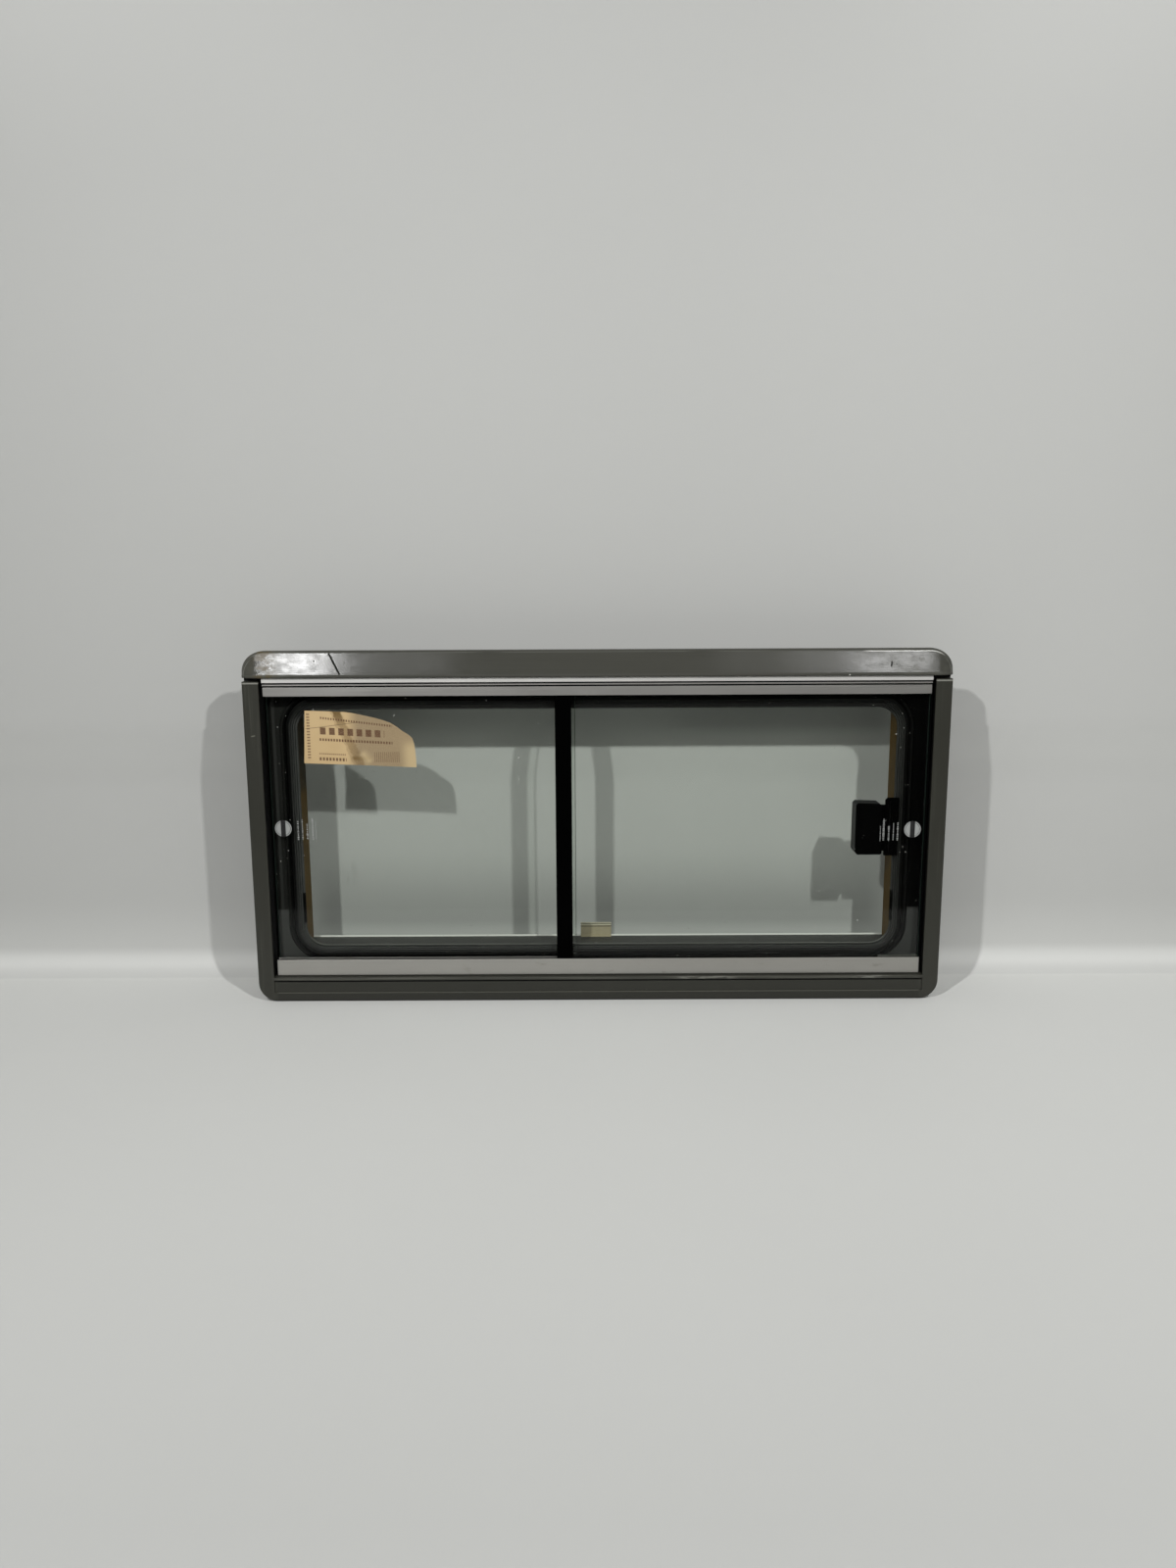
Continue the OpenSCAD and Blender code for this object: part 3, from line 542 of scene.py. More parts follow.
# aluminium tracks
alloy = dict(tone=(0.60, 0.585, 0.55), dull=(0.45, 0.44, 0.41), rough=0.42, metal=0.88,
             bottomRounding=0.12 * mm, topRounding=0.15 * mm, grooveDepth=-0.0128, channelDepth=-0.0086,
             grooves=((0.4209, 0.4232), (0.4168, 0.4191)), topStrip=0.4228,
             bottomChannel=(0.0150, 0.0390), topChannel=0.4055, footSeal=(-0.0565, 0.387))


def alloyMaterial():
    f, a = Finish("satin_aluminium"), alloy
    drawn = f.grain((5, 700, 1400), 3.0)
    blotch = f.grain((14, 40, 60), 4.0, shift=7)
    fine = f.grain((900, 900, 900), 2.0, shift=2)
    base = f.blend(drawn * 0.55 + blotch * 0.5 - 0.05, a["dull"], a["tone"])
    stain = f.rise(f.grain((30, 30, 90), 4.0, shift=12), 0.62, 0.75)
    base = f.blend(stain * 0.35, base, (0.30, 0.27, 0.22))
    specks = f.rise(f.grain((350, 350, 350), 1.0, shift=17), 0.80, 0.84)
    base = f.blend(specks * 0.7, base, (0.08, 0.07, 0.06))
    # painted light: the top rail is painted brighter than the bottom one, a little less so on the right
    base = f.blend(f.rise(f.z, 0.38, 0.40) * (0.45 - f.rise(f.x, 0.0, 0.4) * 0.1), base, (0.92, 0.90, 0.86))
    # painted shade fills the grooves of the nose and the pane channels, and lies behind the pane's foot seal
    grooves = sum(f.within(f.z, *rows, 0.2 * mm) for rows in a["grooves"])
    grooves = grooves * f.rise(f.y, a["grooveDepth"], a["grooveDepth"] + 0.8 * mm)
    inChannel = f.rise(f.y, a["channelDepth"], a["channelDepth"] + 0.2 * mm)
    behindSeal = f.within(f.x, *a["footSeal"], 0.5 * mm) * (1 - f.rise(f.z, 0.05, 0.06))
    below = f.clamp(f.within(f.z, *a["bottomChannel"], 0.3 * mm) + behindSeal)
    above = f.rise(f.z, a["topChannel"], a["topChannel"] + 1.5 * mm)
    base = f.blend(grooves + inChannel * (below + above), base, (0.003, 0.003, 0.003))
    # painted light: the nose strip under the hood is near white and less metallic, so it shows lit inside the
    # hood's shadow
    onTop = f.rise(f.z, a["topStrip"], a["topStrip"] + 0.5 * mm)
    base = f.blend(onTop * 0.95, base, (1.0, 0.99, 0.95))
    # the bottom rail is painted a little darker on the right
    base = f.blend(f.rise(f.x, -0.05, 0.15) * (1 - f.rise(f.z, 0.1, 0.2)) * 0.14, base, (0.25, 0.24, 0.22))
    rough = a["rough"] + (drawn - 0.5) * 0.18 + (blotch - 0.5) * 0.12 + stain * 0.1
    return f.show(f.surface(Base_Color=base, Metallic=a["metal"] - onTop * 0.22, Roughness=f.clamp(rough),
                            Normal=f.bump(drawn * 0.8 + fine * 0.2, 0.03 * mm)))


alloyFinish = alloyMaterial()
softened("bottom_rail", "bottom_track", alloy["bottomRounding"], alloyFinish, 1)
softened("top_rail", "top_track", alloy["topRounding"], alloyFinish, 1)
print("tracks made")


# glass panes
glass = dict(tint=(0.935, 0.950, 0.934), bounce=1.19, dust=(0.55, 0.55, 0.52), edge=(0.008, 0.014, 0.011),
             ground=0.6 * mm)


def glassMaterial():
    f = Finish("tinted_glass")
    clear = f.node("BsdfTransparent", {}, {"Color": glass["tint"]})
    mirror = f.node("BsdfGlossy", {}, {"Color": (1, 1, 1), "Roughness": 0.012})
    lean = f.node("Fresnel", {}, {"IOR": glass["bounce"]})
    body = f.node("MixShader", {}, {0: lean, 1: clear, 2: mirror})
    # a patchy film of dust, faint streaks and single specks
    film = f.rise(f.grain((7, 7, 5), 4.0), 0.35, 0.8) * 0.0012 + 0.0003
    specks = f.rise(f.grain((260, 260, 260), 0.0, shift=31), 0.835, 0.85) * 0.5
    streaks = f.rise(f.grain((60, 60, 4), 3.0, shift=3), 0.6, 0.85) * 0.002
    dust = f.surface(Base_Color=glass["dust"], Roughness=0.9)
    return f.show(f.node("MixShader", {}, {0: f.clamp(film + specks + streaks), 1: body, 2: dust}))


def glassEdgeMaterial():
    f = Finish("ground_glass_edge")
    ground = f.grain((1600, 1600, 1600), 2.0)
    base = f.blend(ground, glass["edge"], tuple(v * 1.7 for v in glass["edge"]))
    return f.show(f.surface(Base_Color=base, Roughness=0.35, Normal=f.bump(ground, 0.04 * mm, 0.6)))


def makePane(name, node, materials):
    low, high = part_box(node)
    c = glass["ground"]
    outline = [(low.x + c, low.z), (high.x - c, low.z), (high.x, low.z + c), (high.x, high.z - c),
               (high.x - c, high.z), (low.x + c, high.z), (low.x, high.z - c), (low.x, low.z + c)]
    # four rings: front face, full outline, full outline, back face
    inner = [(max(low.x + c, min(high.x - c, x)), max(low.z + c, min(high.z - c, z))) for x, z in outline]
    rings = [(inner, low.y), (outline, low.y + c), (outline, high.y - c), (inner, high.y)]
    verts = [(x, y, z) for points, y in rings for x, z in points]
    faces = [tuple(range(8)), tuple(range(24, 32))]
    for r in range(3):
        for j in range(8):
            k = (j + 1) % 8
            faces.append((r * 8 + j, r * 8 + k, (r + 1) * 8 + k, (r + 1) * 8 + j))
    # the two broad faces are clear, the rim is ground
    piece = addMesh(name, verts, faces, materials, 20, lambda face: 0 if abs(face.normal.y) > 0.9 else 1)
    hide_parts(node)
    return piece


glassFinish, edgeFinish = glassMaterial(), glassEdgeMaterial()
makePane("glass_outer", "outer_pane", [glassFinish, edgeFinish])
makePane("glass_inner", "inner_pane", [glassFinish, edgeFinish])
print("panes made")


# plain finishes with their own grain
def grainedMaterial(name, dark, pale, rough, sizes=(600, 600, 600), height=0.04 * mm, gloss=0.5):
    f = Finish(name)
    fine = f.grain(sizes, 3.0)
    wide = f.grain(tuple(v * 0.04 for v in sizes), 3.0, shift=6)
    base = f.blend(fine * 0.5 + wide * 0.5, dark, pale)
    specks = f.rise(f.grain((500, 500, 500), 1.0, shift=13), 0.80, 0.84)
    base = f.blend(specks * 0.25, base, tuple(min(1, v * 3 + 0.02) for v in pale))
    return f.show(f.surface(Base_Color=base, Specular_IOR_Level=gloss, Normal=f.bump(fine, height),
                            Roughness=f.clamp(rough + (fine - 0.5) * 0.22 + (wide - 0.5) * 0.1)))


# the plates, boards and linings behind the gasket
plate = dict(dark=grey(24, 1), pale=grey(34, 1), low=grey(70, 1), shaded=grey(1), strip=grey(48, 1),
             stripSpan=(0.4337, 0.4377), shadedFrom=0.38, lowBelow=0.1056, rounding=0.15 * mm)
board = dict(dark=screen(62, 44, 4), pale=screen(100, 76, 26), shade=screen(20, 14, 4), shadeFrom=0.262,
             rounding=0.3 * mm)
lining = dict(dark=grey(44, 2), pale=grey(58, 2), rounding=0.3 * mm)
rubber = dict(dark=grey(1), pale=grey(4))


def plateMaterial():
    f = Finish("dark_plate")
    drawn = f.grain((500, 500, 8), 3.0)
    base = f.blend(drawn, plate["dark"], plate["pale"])
    # a paler strip runs down beside the gasket on the left, the right is in shade
    strip = f.within(abs(f.x), *plate["stripSpan"], 0.4 * mm) * (1 - f.rise(f.x, 0.0, 0.01))
    base = f.blend(strip * 0.8, base, plate["strip"])
    base = f.blend(f.rise(f.x, plate["shadedFrom"], plate["shadedFrom"] + 20 * mm), base, plate["shaded"])
    # painted reflection: low down the plate is paler, where the floor shows in the glass in front of it
    low = 1 - f.rise(f.z, plate["lowBelow"], plate["lowBelow"] + 1.6 * mm)
    base = f.blend(low * 0.7, base, plate["low"])
    return f.show(f.surface(Base_Color=base, Roughness=0.6, Specular_IOR_Level=0.06,
                            Normal=f.bump(drawn, 0.03 * mm)))


def brownMaterial():
    f = Finish("brown_board_edge")
    fibres = f.grain((900, 300, 22), 4.0)
    bands = f.grain((40, 60, 6), 3.0, shift=5)
    base = f.blend(fibres * 0.6 + bands * 0.5 - 0.05, board["dark"], board["pale"])
    # the upper half of the left board is in shade
    shade = (1 - f.rise(f.x, -0.1, 0)) * f.rise(f.z, board["shadeFrom"], board["shadeFrom"] + 18 * mm)
    base = f.blend(shade * 0.7, base, board["shade"])
    return f.show(f.surface(Base_Color=base, Roughness=0.8, Normal=f.bump(fibres, 0.15 * mm, 0.6)))


plateFinish, brownFinish = plateMaterial(), brownMaterial()
blackRubber = grainedMaterial("black_rubber", rubber["dark"], rubber["pale"], 0.62, gloss=0.05)
greyLining = grainedMaterial("grey_lining", lining["dark"], lining["pale"], 0.55, (240, 500, 500))
for side in ("left", "right", "sill", "head"):
    softened("back_plate_" + side, "plate_" + side, plate["rounding"], plateFinish, 1)
for side in ("left", "right"):
    softened("board_edge_" + side, "lining_" + side, board["rounding"], brownFinish, 2)
for side in ("sill", "head"):
    softened("reveal_" + side, "lining_" + side, lining["rounding"], greyLining, 2)


# gasket: a ribbed ring round the opening and a soft bulb round that
gasket = dict(half=403.5 * mm, low=56 * mm, high=385 * mm, corner=27 * mm, front=8.8 * mm, back=11.8 * mm,
              beadWidth=15.5 * mm, lipWidth=8.5 * mm, ribs=4, ribPitch=3 * mm, crease=1.15 * mm, gap=0.3 * mm,
              dark=grey(54, 1), pale=grey(72, 1), deep=grey(16, 1), sill=grey(126, 5))


# points round the opening, each with its outward direction and corner radius
def ringPath(grow, steps=18):
    g = gasket
    r = g["corner"] + grow
    cx, lowZ, highZ = g["half"] + grow - r, g["low"] - grow + r, g["high"] + grow - r
    path = []
    for (x, z), start in (((cx, lowZ), -90), ((cx, highZ), 0), ((-cx, highZ), 90), ((-cx, lowZ), 180)):
        for i in range(steps + 1):
            a = math.radians(start + 90 * i / steps)
            path.append((x, z, math.cos(a), math.sin(a), r))
    return path


# distance outwards from the edge of the opening with its round corners
def fromOpening(f):
    g = gasket
    middle, tall = (g["low"] + g["high"]) / 2, (g["high"] - g["low"]) / 2
    dx = f.maths("MAXIMUM", abs(f.x) - (g["half"] - g["corner"]), 0.0)
    dz = f.maths("MAXIMUM", abs(f.z - middle) - (tall - g["corner"]), 0.0)
    return (dx ** 2 + dz ** 2) ** 0.5 - g["corner"]


# carries a section of (outwards, depth) points round the ring
def sweepRing(name, section, grow, material):
    stations = [[(x + nx * (r + u), y, z + nz * (r + u)) for u, y in section]
                for x, z, nx, nz, r in ringPath(grow)]
    return loft(name, stations, material, 60, closed=True)


def ribbedMaterial():
    f, g = Finish("ribbed_rubber"), gasket
    fine = f.grain((700, 700, 700), 3.0)
    wide = f.grain((24, 24, 24), 3.0, shift=8)
    base = f.blend(fine * 0.4 + wide * 0.6, g["dark"], g["pale"])
    out = fromOpening(f)
    upright = f.rise(abs(f.x), 0.395, 0.4035)
    base = f.blend(f.rise(out, 2 * mm, 12 * mm) * (0.45 + upright * 0.18), base, g["deep"])
    # the sill's inner edge catches the light, with shade in its first crease, its outer half and at the head
    sill, head = (1 - upright) * (1 - f.rise(f.z, 0.2, 0.3)), f.rise(f.z, 0.368, 0.382)
    base = f.blend(sill * (1 - f.rise(out, -0.1 * mm, 0.5 * mm)) * 0.5, base, g["sill"])
    shade = sill * f.within(out, 0.7 * mm, 1.8 * mm, 0.3 * mm) + sill * f.rise(out, 6.6 * mm, 8.2 * mm) + head
    base = f.blend(f.clamp(shade) * 0.8, base, g["deep"])
    # painted shade on the right upright, as on the plate beside it
    base = f.blend(upright * f.rise(f.x, 0.0, 0.1) * 0.45, base, grey(22, 2))
    # painted shade in the creases between the ribs
    ends = [(i * g["ribPitch"] - 0.55 * mm, i * g["ribPitch"] + 0.55 * mm) for i in (1, 2, 3, 4)]
    creases = sum(f.within(out, *pair, 0.3 * mm) for pair in ends)
    base = f.blend(creases * 0.7, base, grey(6))
    base = f.blend(upright * f.rise(out, 11.2 * mm, 12.8 * mm) * 0.9, base, grey(2))
    rough = f.clamp(0.5 + (fine - 0.5) * 0.2)
    return f.show(f.surface(Base_Color=base, Roughness=rough, Specular_IOR_Level=0.25,
                            Normal=f.bump(fine, 0.04 * mm)))


def bulbMaterial():
    f = Finish("bulb_rubber")
    fine = f.grain((700, 700, 700), 3.0)
    base = f.blend(fine, rubber["dark"], rubber["pale"])
    # a thin painted highlight along the crown, but on the left the outer half is as pale as the plate beside it
    out = fromOpening(f)
    onLeft = f.rise(abs(f.x), 0.40, 0.41) * (1 - f.rise(f.x, 0, 0.1))
    crown = (1 - onLeft) * f.within(out, 19.6 * mm, 20.5 * mm, 0.3 * mm)
    base = f.blend(crown * (0.5 + fine * 0.3), base, grey(28, 1))
    base = f.blend(onLeft * f.rise(out, 19.2 * mm, 20.4 * mm), base, plate["dark"])
    rough = f.clamp(0.6 + (fine - 0.5) * 0.2)
    return f.show(f.surface(Base_Color=base, Roughness=rough, Specular_IOR_Level=0.05,
                            Normal=f.bump(fine, 0.04 * mm)))


def makeGasket():
    g = gasket
    low = g["front"] + g["crease"]
    section = [(0.0, g["back"]), (0.0, low + 0.3 * mm)]
    for i in range(g["ribs"]):
        crown = g["front"] + (0.1 + 0.08 * i) * mm
        for part in range(9):
            t = part / 8
            dome = math.sin(math.pi * t) ** 0.7 if 0 < t < 1 else 0
            section.append(((i + 0.06 + 0.88 * t) * g["ribPitch"], low - (low - crown) * dome))
    edge = g["beadWidth"]
    section += [(edge - 3.3 * mm, low + 0.5 * mm), (edge - 0.5 * mm, low + 0.5 * mm), (edge, low + 0.9 * mm),
                (edge, g["back"])]
    bead = sweepRing("gasket_ribs", section, 0.0, ribbedMaterial())
    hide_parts("gasket_bead")
    r = (g["back"] - g["front"]) / 2
    lip = [(0.0, g["back"])]
    lip += arcPoints(r + 0.8 * mm, g["front"] + r, r, 180, 270, 8)
    lip += arcPoints(g["lipWidth"] - 1.2 * mm - r, g["front"] + r, r, 270, 340, 7)
    lip += [(g["lipWidth"], g["back"] - 0.8 * mm), (g["lipWidth"], g["back"])]
    soft = sweepRing("gasket_bulb", lip, g["beadWidth"] + g["gap"], bulbMaterial())
    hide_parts("gasket_lip")


makeGasket()
print("gasket and plates made")


# stile, glides, seals and buffers
rounding = dict(stile=0.3 * mm, brush=0.25 * mm, glide=0.4 * mm, seal=0.3 * mm, buffer=0.5 * mm)
stileFinish = grainedMaterial("stile_black", grey(0.5), grey(1.5), 0.6, (500, 500, 30), gloss=0.02)
brushFinish = grainedMaterial("brush_pile", grey(4), grey(12), 0.9, (2500, 400, 900), 0.3 * mm)
glideFinish = grainedMaterial("glide_plastic", grey(16), grey(30), 0.5)
softened("stile_profile", "meeting_stile", rounding["stile"], stileFinish, 2)
softened("stile_pile", "stile_brush", rounding["brush"], brushFinish, 1)
for side in ("outer", "inner"):
    softened("glide_shoes_" + side, side + "_glides", rounding["glide"], glideFinish, 2)
for side in ("left", "right"):
    softened("jamb_strip_" + side, "jamb_seal_" + side, rounding["seal"], blackRubber, 2)
    softened("buffer_block_" + side, "buffer_" + side, rounding["buffer"], blackRubber, 2)


# latch and keeper
latch = dict(dark=grey(0.5), pale=grey(2), bodyEnd=0.384, line=((0.3675, 0.3765), (0.2445, 0.2455)),
             dots=((0.3680, 0.2175), (0.3760, 0.2175)),
             case=1.0 * mm, hook=0.35 * mm, paddle=0.6 * mm, cushion=0.2 * mm, strike=0.6 * mm)


def latchMaterial():
    f = Finish("latch_black")
    fine = f.grain((700, 700, 700), 3.0)
    turn = f.facing()
    base = f.blend(fine, latch["dark"], latch["pale"])
    # the body's left side and top catch the light
    onBody = 1 - f.rise(f.x, latch["bodyEnd"], latch["bodyEnd"] + 3 * mm)
    base = f.blend(f.rise(turn[0] * -1, 0.5, 0.9) * onBody, base, f.blend(fine, grey(66), grey(80)))
    base = f.blend(f.rise(turn[2], 0.6, 0.9) * onBody, base, f.blend(fine, grey(38), grey(50)))
    # a short moulded line and two ejector dots on the face
    face = f.rise(turn[1] * -1, 0.8, 0.95) * 0.6
    wide, tall = latch["line"]
    base = f.blend(f.within(f.x, *wide, 0.3 * mm) * f.within(f.z, *tall, 0.2 * mm) * face, base, grey(70))
    dots = sum(1 - f.rise(f.away(*dot), 0.5 * mm, 1.1 * mm) for dot in latch["dots"])
    base = f.blend(dots * face, base, grey(60))
    rough = f.clamp(0.55 + (fine - 0.5) * 0.2)
    return f.show(f.surface(Base_Color=base, Roughness=rough, Specular_IOR_Level=0.03,
                            Normal=f.bump(fine, 0.06 * mm)))


latchFinish = latchMaterial()
softened("latch_case", "latch_body", latch["case"], latchFinish, 3)
softened("latch_hook", "latch_bolt", latch["hook"], latchFinish, 2)
softened("latch_paddle", "latch_lever", latch["paddle"], latchFinish, 2)
softened("latch_cushion", "latch_pad", latch["cushion"], blackRubber, 1)
softened("latch_strike", "latch_keeper", latch["strike"], latchFinish, 2)


# sill strip and clip
sill = dict(stripDark=screen(232, 232, 226), stripPale=screen(246, 246, 240), rounding=0.2 * mm)
clip = dict(dark=screen(150, 141, 116), pale=screen(174, 164, 138), top=screen(196, 192, 172),
            line=screen(70, 62, 44), topTall=5 * mm, lineTall=1.5 * mm, rounding=0.2 * mm)


# beige, with a dark line under its paler top
def clipMaterial():
    f = Finish("clip_beige")
    speck = f.grain((300, 300, 300))
    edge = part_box("sill_clip")[1].z - clip["topTall"]
    tone = f.blend(speck, clip["dark"], clip["pale"])
    tone = f.blend(f.rise(f.z, edge - 0.4 * mm, edge + 0.4 * mm) * 0.7, tone, clip["top"])
    line = f.within(f.z, edge - 0.5 * mm - clip["lineTall"], edge - 0.5 * mm, 0.4 * mm)
    tone = f.blend(line * 0.85, tone, clip["line"])
    return f.show(f.surface(Base_Color=tone, Roughness=speck * 0.2 + 0.42, Normal=f.bump(speck, 0.1 * mm)))


trimFinish = grainedMaterial("pale_trim", sill["stripDark"], sill["stripPale"], 0.5, (60, 500, 500))
softened("sill_strip", "sill_trim", sill["rounding"], trimFinish, 2)
softened("spring_clip", "sill_clip", clip["rounding"], clipMaterial(), 2)
print("fittings made")


# paper label on the left pane, with plain bars where print would be; outline and rows are in mm
label = dict(cream=screen(197, 171, 129), tan=screen(182, 156, 114), pink=screen(137, 119, 92),
             pinkPale=screen(150, 131, 102), stain=screen(104, 80, 44), worn=screen(206, 184, 140),
             foldTone=screen(96, 80, 56), inkTone=screen(82, 50, 34), fibre=screen(190, 172, 134),
             face=1.5 * mm, thick=0.12 * mm, middle=(-0.323, 0.346), rings=(1.0, 0.985, 0.9, 0.75, 0.55, 0.3),
             seat=0.04 * mm, curl=0.45 * mm, wave=0.05 * mm,
             folds=(((-0.3905, 0.3603), (-0.3656, 0.3629)), ((-0.3656, 0.3629), (-0.3198, 0.3688))),
             crease=((-0.316, 0.328), (-0.305, 0.314)),
             # each row of print: its start and end, height, pitch and filled share
             rows=(((-370.4, 375.0), (-274.5, 363.3), 2.8, 3.4, 0.55),
                   ((-371.8, 357.5), (-285, 352.5), 9.5, 12.2, 0.62),
                   ((-372.3, 345.8), (-274.6, 340.3), 3.4, 3.7, 0.62),
                   ((-373.2, 326.6), (-338, 324.8), 1.8, 2.6, 0.5),
                   ((-373.4, 319.6), (-337, 317.9), 4.2, 4.4, 0.62)),
             # two blocks of bars: x span, z span, pitch
             column=((-0.3888, -0.3846), (0.318, 0.381), 3.9 * mm),
             bars=((-0.2992, -0.2661), (0.3143, 0.3283), 2.7 * mm),
             outline=[(-390.6, 384.6), (-364, 383.8), (-337.9, 382.7), (-328, 381.3), (-319.3, 379.5),
                      (-309, 377.2), (-298.1, 374.7), (-287, 371.6), (-277.0, 367.9), (-268.6, 362.9),
                      (-261.3, 357.0), (-254.2, 352.6), (-248.1, 347.5), (-245.6, 340), (-244.6, 331.2),
                      (-243.6, 319), (-243.3, 307.3), (-268, 308.4), (-293, 309.5), (-318, 310.6),
                      (-343, 311.6), (-369, 312.6), (-394.1, 313.5), (-392.9, 337), (-391.8, 361)])


def labelMaterial():
    f, p = Finish("label_paper"), label
    fibre = f.grain((900, 900, 900), 3.0)
    cloud = f.grain((22, 22, 22), 4.0, shift=2)
    ragged = f.grain((160, 160, 160), 3.0, shift=5)
    base = f.blend(cloud * 1.3 - 0.2, p["cream"], p["tan"])
    base = f.blend(f.rise(f.x, -0.338, -0.318), base, f.blend(cloud, p["pink"], p["pinkPale"]))
    # a brown water stain winds down across the paper, and a small one lies near its foot
    bend = f.x - (0.385 - f.z) * 0.42 + (ragged - 0.5) * 0.008
    stain = f.within(bend, -0.3555, -0.3435, 0.002) * (0.55 + 0.5 * f.rise(f.z, 0.36, 0.385))
    stain = f.clamp(stain + f.within(bend, -0.3585, -0.3565, 0.001) * 0.3)
    footStain = f.within(f.z, 0.3175, 0.3225, 0.002) * f.within(f.x, -0.330, -0.306, 0.004)
    base = f.blend(stain + footStain * 0.4, base, p["stain"])
    # the paper is paler along its worn right end and where a crease catches the light
    paleEnd = f.rise(f.x, -0.268, -0.250) * (1 - f.rise(f.z, 0.330, 0.350))
    pale = f.streak(*p["crease"], 3.5 * mm, 2.0) + paleEnd
    base = f.blend(pale * 0.55, base, p["worn"])
    folds = sum(f.streak(*ends, 0.45 * mm) for ends in p["folds"])
    base = f.blend(folds * 0.7, base, p["foldTone"])
    # the rows slope with the paper
    ink = 0
    for (x0, z0), (x1, z1), tall, pitch, fill in p["rows"]:
        line = f.z - (f.x - x0 * mm) * ((z1 - z0) / (x1 - x0)) - z0 * mm
        dash = f.within(f.maths("FRACT", (f.x - x0 * mm) / (pitch * mm)), 0.06, fill + 0.06, 0.05)
        spread = f.within(f.x, x0 * mm, x1 * mm, 0.3 * mm)
        ink = ink + f.within(line, -tall * mm / 2, tall * mm / 2, 0.25 * mm) * dash * spread
    wide, tall, pitch = p["column"]
    dash = f.within(f.maths("FRACT", f.z / pitch), 0.1, 0.62, 0.06)
    ink = ink + f.within(f.x, *wide, 0.3 * mm) * f.within(f.z, *tall, 0.4 * mm) * dash * 0.8
    wide, tall, pitch = p["bars"]
    dash = f.within(f.maths("FRACT", f.x / pitch), 0.1, 0.5, 0.08)
    ink = ink + f.within(f.x, *wide, 0.3 * mm) * f.within(f.z, *tall, 0.4 * mm) * dash * 0.6
    base = f.blend(ink * 0.92, base, p["inkTone"])
    # pale fibres all over
    base = f.blend(f.rise(fibre, 0.35, 0.8) * 0.25, base, p["fibre"])
    return f.show(f.surface(Base_Color=base, Roughness=0.75, Specular_IOR_Level=0.35,
                            Normal=f.bump(fibre * 0.3 + cloud * 0.7, 0.4 * mm)))


# a fan of rings shrunk towards the middle, with a slight lift along the torn side
def makeLabel():
    outline = [(x * mm, z * mm) for x, z in label["outline"]]
    cx, cz = label["middle"]
    rings = label["rings"]
    verts, faces = [], []
    n = len(outline)
    for side in (0, 1):
        for s in rings:
            for x, z in outline:
                px, pz = cx + (x - cx) * s, cz + (z - cz) * s
                lift = label["curl"] * max(0, (px + 0.29) / 0.047) ** 2 * (0.4 + 0.6 * math.sin(pz * 180) ** 2)
                lift += label["wave"] * (math.sin(px * 160) * math.sin(pz * 120) + 1)
                verts.append((px, label["face"] - label["seat"] - lift - side * label["thick"], pz))
        base = side * len(rings) * n
        for r in range(len(rings) - 1):
            a, b = base + r * n, base + (r + 1) * n
            for j in range(n):
                k = (j + 1) % n
                faces.append((a + j, a + k, b + k, b + j))
        faces.append(tuple(base + (len(rings) - 1) * n + j for j in range(n)))
    shift = len(rings) * n
    for j in range(n):
        k = (j + 1) % n
        faces.append((j, k, shift + k, shift + j))
    addMesh("paper_label", verts, faces, labelMaterial(), 50)


makeLabel()
print("label made")


# white discs and dashes on the glass, in mm; each column: its place, width and drop below the top
marks = dict(radius=11.3 * mm, rim=1.4 * mm, band=6.5 * mm, thick=0.06 * mm, dash=1.9 * mm,
             white=(0.36, 0.37, 0.36), dull=(0.02, 0.02, 0.02),
             left=dict(spot=(-427.0, 223.8), face=1.5, span=(209, 238),
                       columns=((-407, 1, 4), (-401, 0.7, 2), (-394.5, 1.2, 8), (-387, 1.1, 0),
                                (-383, 0.6, 6))),
             right=dict(spot=(425.6, 220.4), face=-7.0, span=(205, 235),
                        columns=((382.3, 0.6, 10), (386.6, 1.3, 0), (393.6, 1.1, 10), (399.8, 0.7, 6),
                                 (405.6, 1.1, 5))))


def printMaterial(name, shade):
    f = Finish(name)
    fine = f.grain((1300, 1300, 1300), 2.0)
    ink = f.surface(Base_Color=shade, Roughness=0.6)
    clear = f.node("BsdfTransparent")
    return f.show(f.node("MixShader", {}, {0: f.clamp(fine * 0.4 + 0.6), 1: clear, 2: ink}))


# a thin closed plate with the given (x, z) outline
def flatShape(bm, outline, y, depth):
    front = [bm.verts.new((x, y + depth, z)) for x, z in outline]
    back = [bm.verts.new((x, y, z)) for x, z in outline]
    bm.faces.new(front)
    bm.faces.new(back[::-1])
    for i in range(len(outline)):
        j = (i + 1) % len(outline)
        bm.faces.new((front[i], front[j], back[j], back[i]))


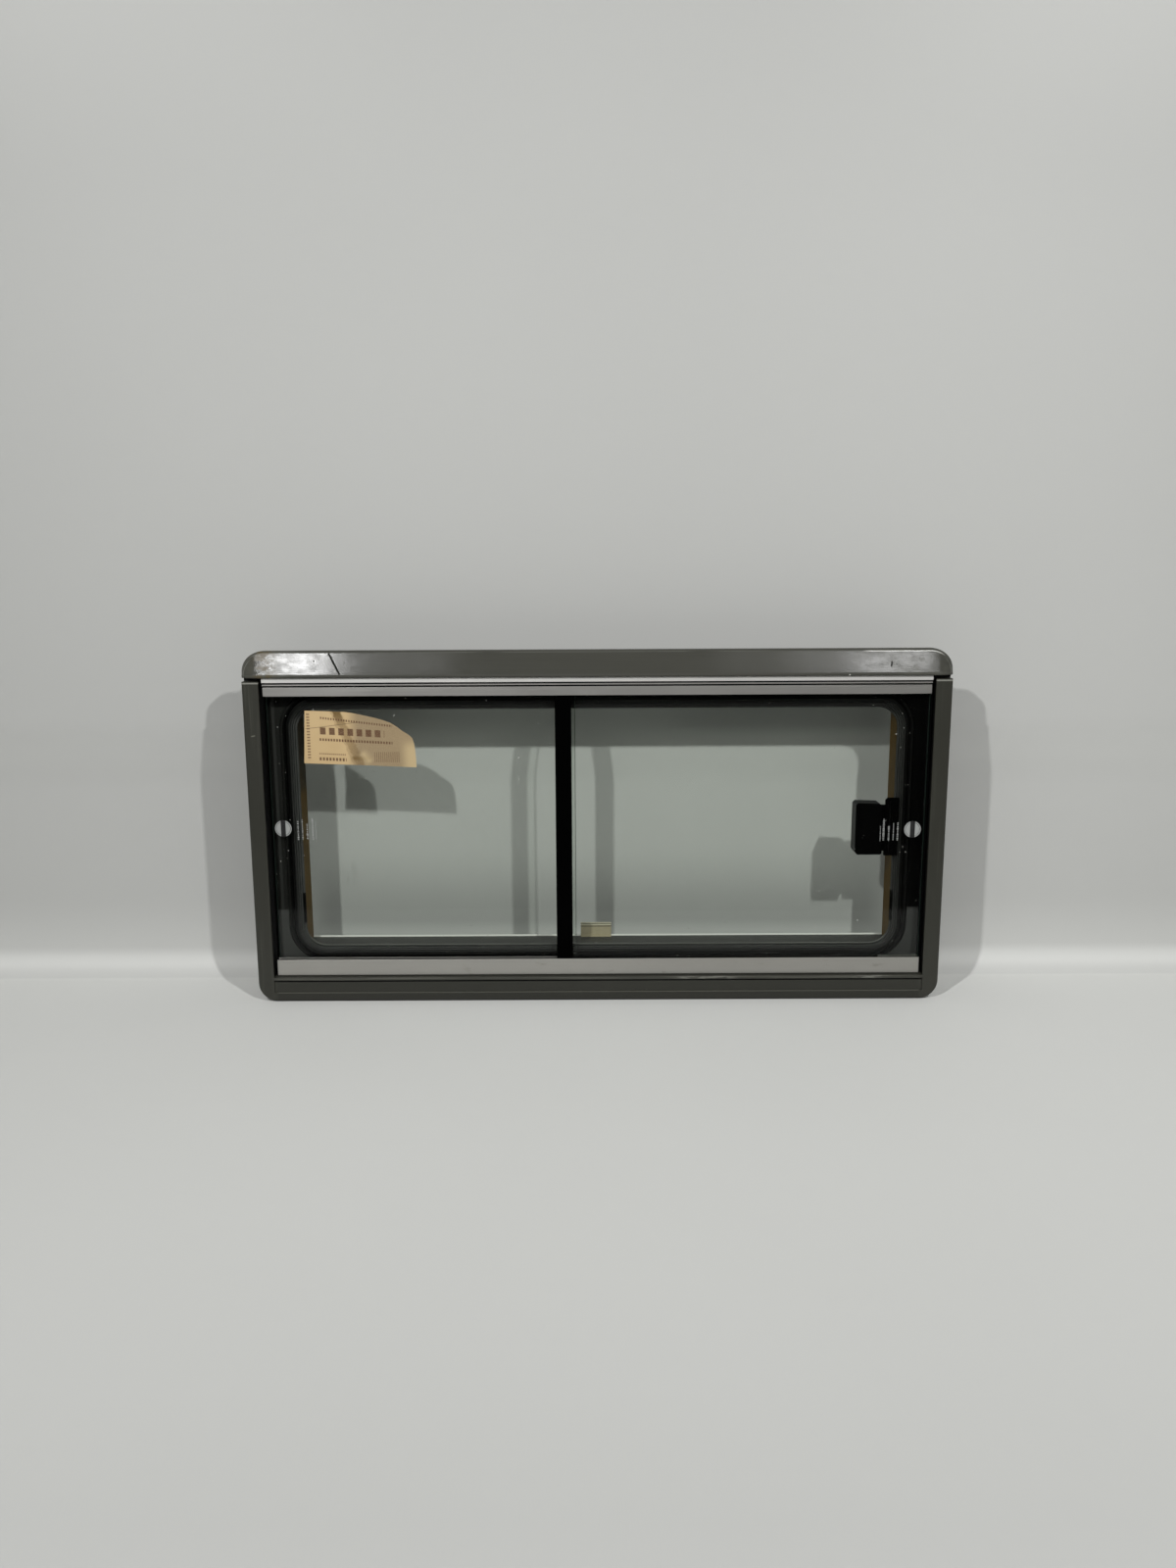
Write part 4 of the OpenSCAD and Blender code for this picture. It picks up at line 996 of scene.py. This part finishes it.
# the outline of the part of a disc between two distances from its middle, measured along x
def discSlice(cx, cz, r, low, high, steps=20):
    a0, a1 = math.asin(max(-1, low / r)), math.asin(min(1, high / r))
    turns = [a0 + (a1 - a0) * i / steps for i in range(steps + 1)]
    return [(cx + r * math.sin(a), cz + r * math.cos(a)) for a in turns] + \
        [(cx + r * math.sin(a), cz - r * math.cos(a)) for a in reversed(turns)]


# a ring as two curved plates, with a gap between them at top and foot
def ringOutlines(cx, cz, inner, outer, gap, steps=24):
    reach = math.acos(gap / outer)
    for side in (0, math.pi):
        turns = [side - reach + 2 * reach * i / steps for i in range(steps + 1)]
        yield [(cx + outer * math.cos(a), cz + outer * math.sin(a)) for a in turns] + \
            [(cx + inner * math.cos(a), cz + inner * math.sin(a)) for a in reversed(turns)]


def makeMarks():
    white = printMaterial("white_print", marks["white"])
    dull = printMaterial("grey_print", marks["dull"])
    rng = random.Random(5)
    for name in ("left", "right"):
        m = marks[name]
        x, z = (v * mm for v in m["spot"])
        y, d = (m["face"] - 0.02) * mm, -marks["thick"]
        r, half = marks["radius"] - marks["rim"] - 0.5 * mm, marks["band"] / 2
        bm = bmesh.new()
        for outline in ringOutlines(x, z, marks["radius"] - marks["rim"], marks["radius"], half):
            flatShape(bm, outline, y, d)
        for low, high in ((-r, -half), (half, r)):
            flatShape(bm, discSlice(x, z, r, low, high), y, d)
        flatShape(bm, discSlice(x, z, marks["radius"], -half, half), y, d)
        low, high = (v * mm for v in m["span"])
        for px, wide, drop in m["columns"]:
            top = high - drop * mm
            while top > low:
                tall = rng.uniform(0.7, 1.7) * mm
                w = marks["dash"] * wide * rng.uniform(0.6, 1.2) / 2
                cx = px * mm
                flatShape(bm, [(cx - w, top - tall), (cx + w, top - tall), (cx + w, top), (cx - w, top)], y, d)
                top -= tall + rng.uniform(0.6, 1.4) * mm
        mesh = bpy.data.meshes.new("glass_print_" + name)
        bm.to_mesh(mesh)
        bm.free()
        # the band across the disc's middle is dull
        dress("glass_print_" + name, mesh, [white, dull], 30,
              lambda face: 1 if abs(face.center.x - x) < half * 0.5 and abs(face.center.z - z) < r * 0.9 else 0)


makeMarks()
print("marks made")

print("pieces placed")
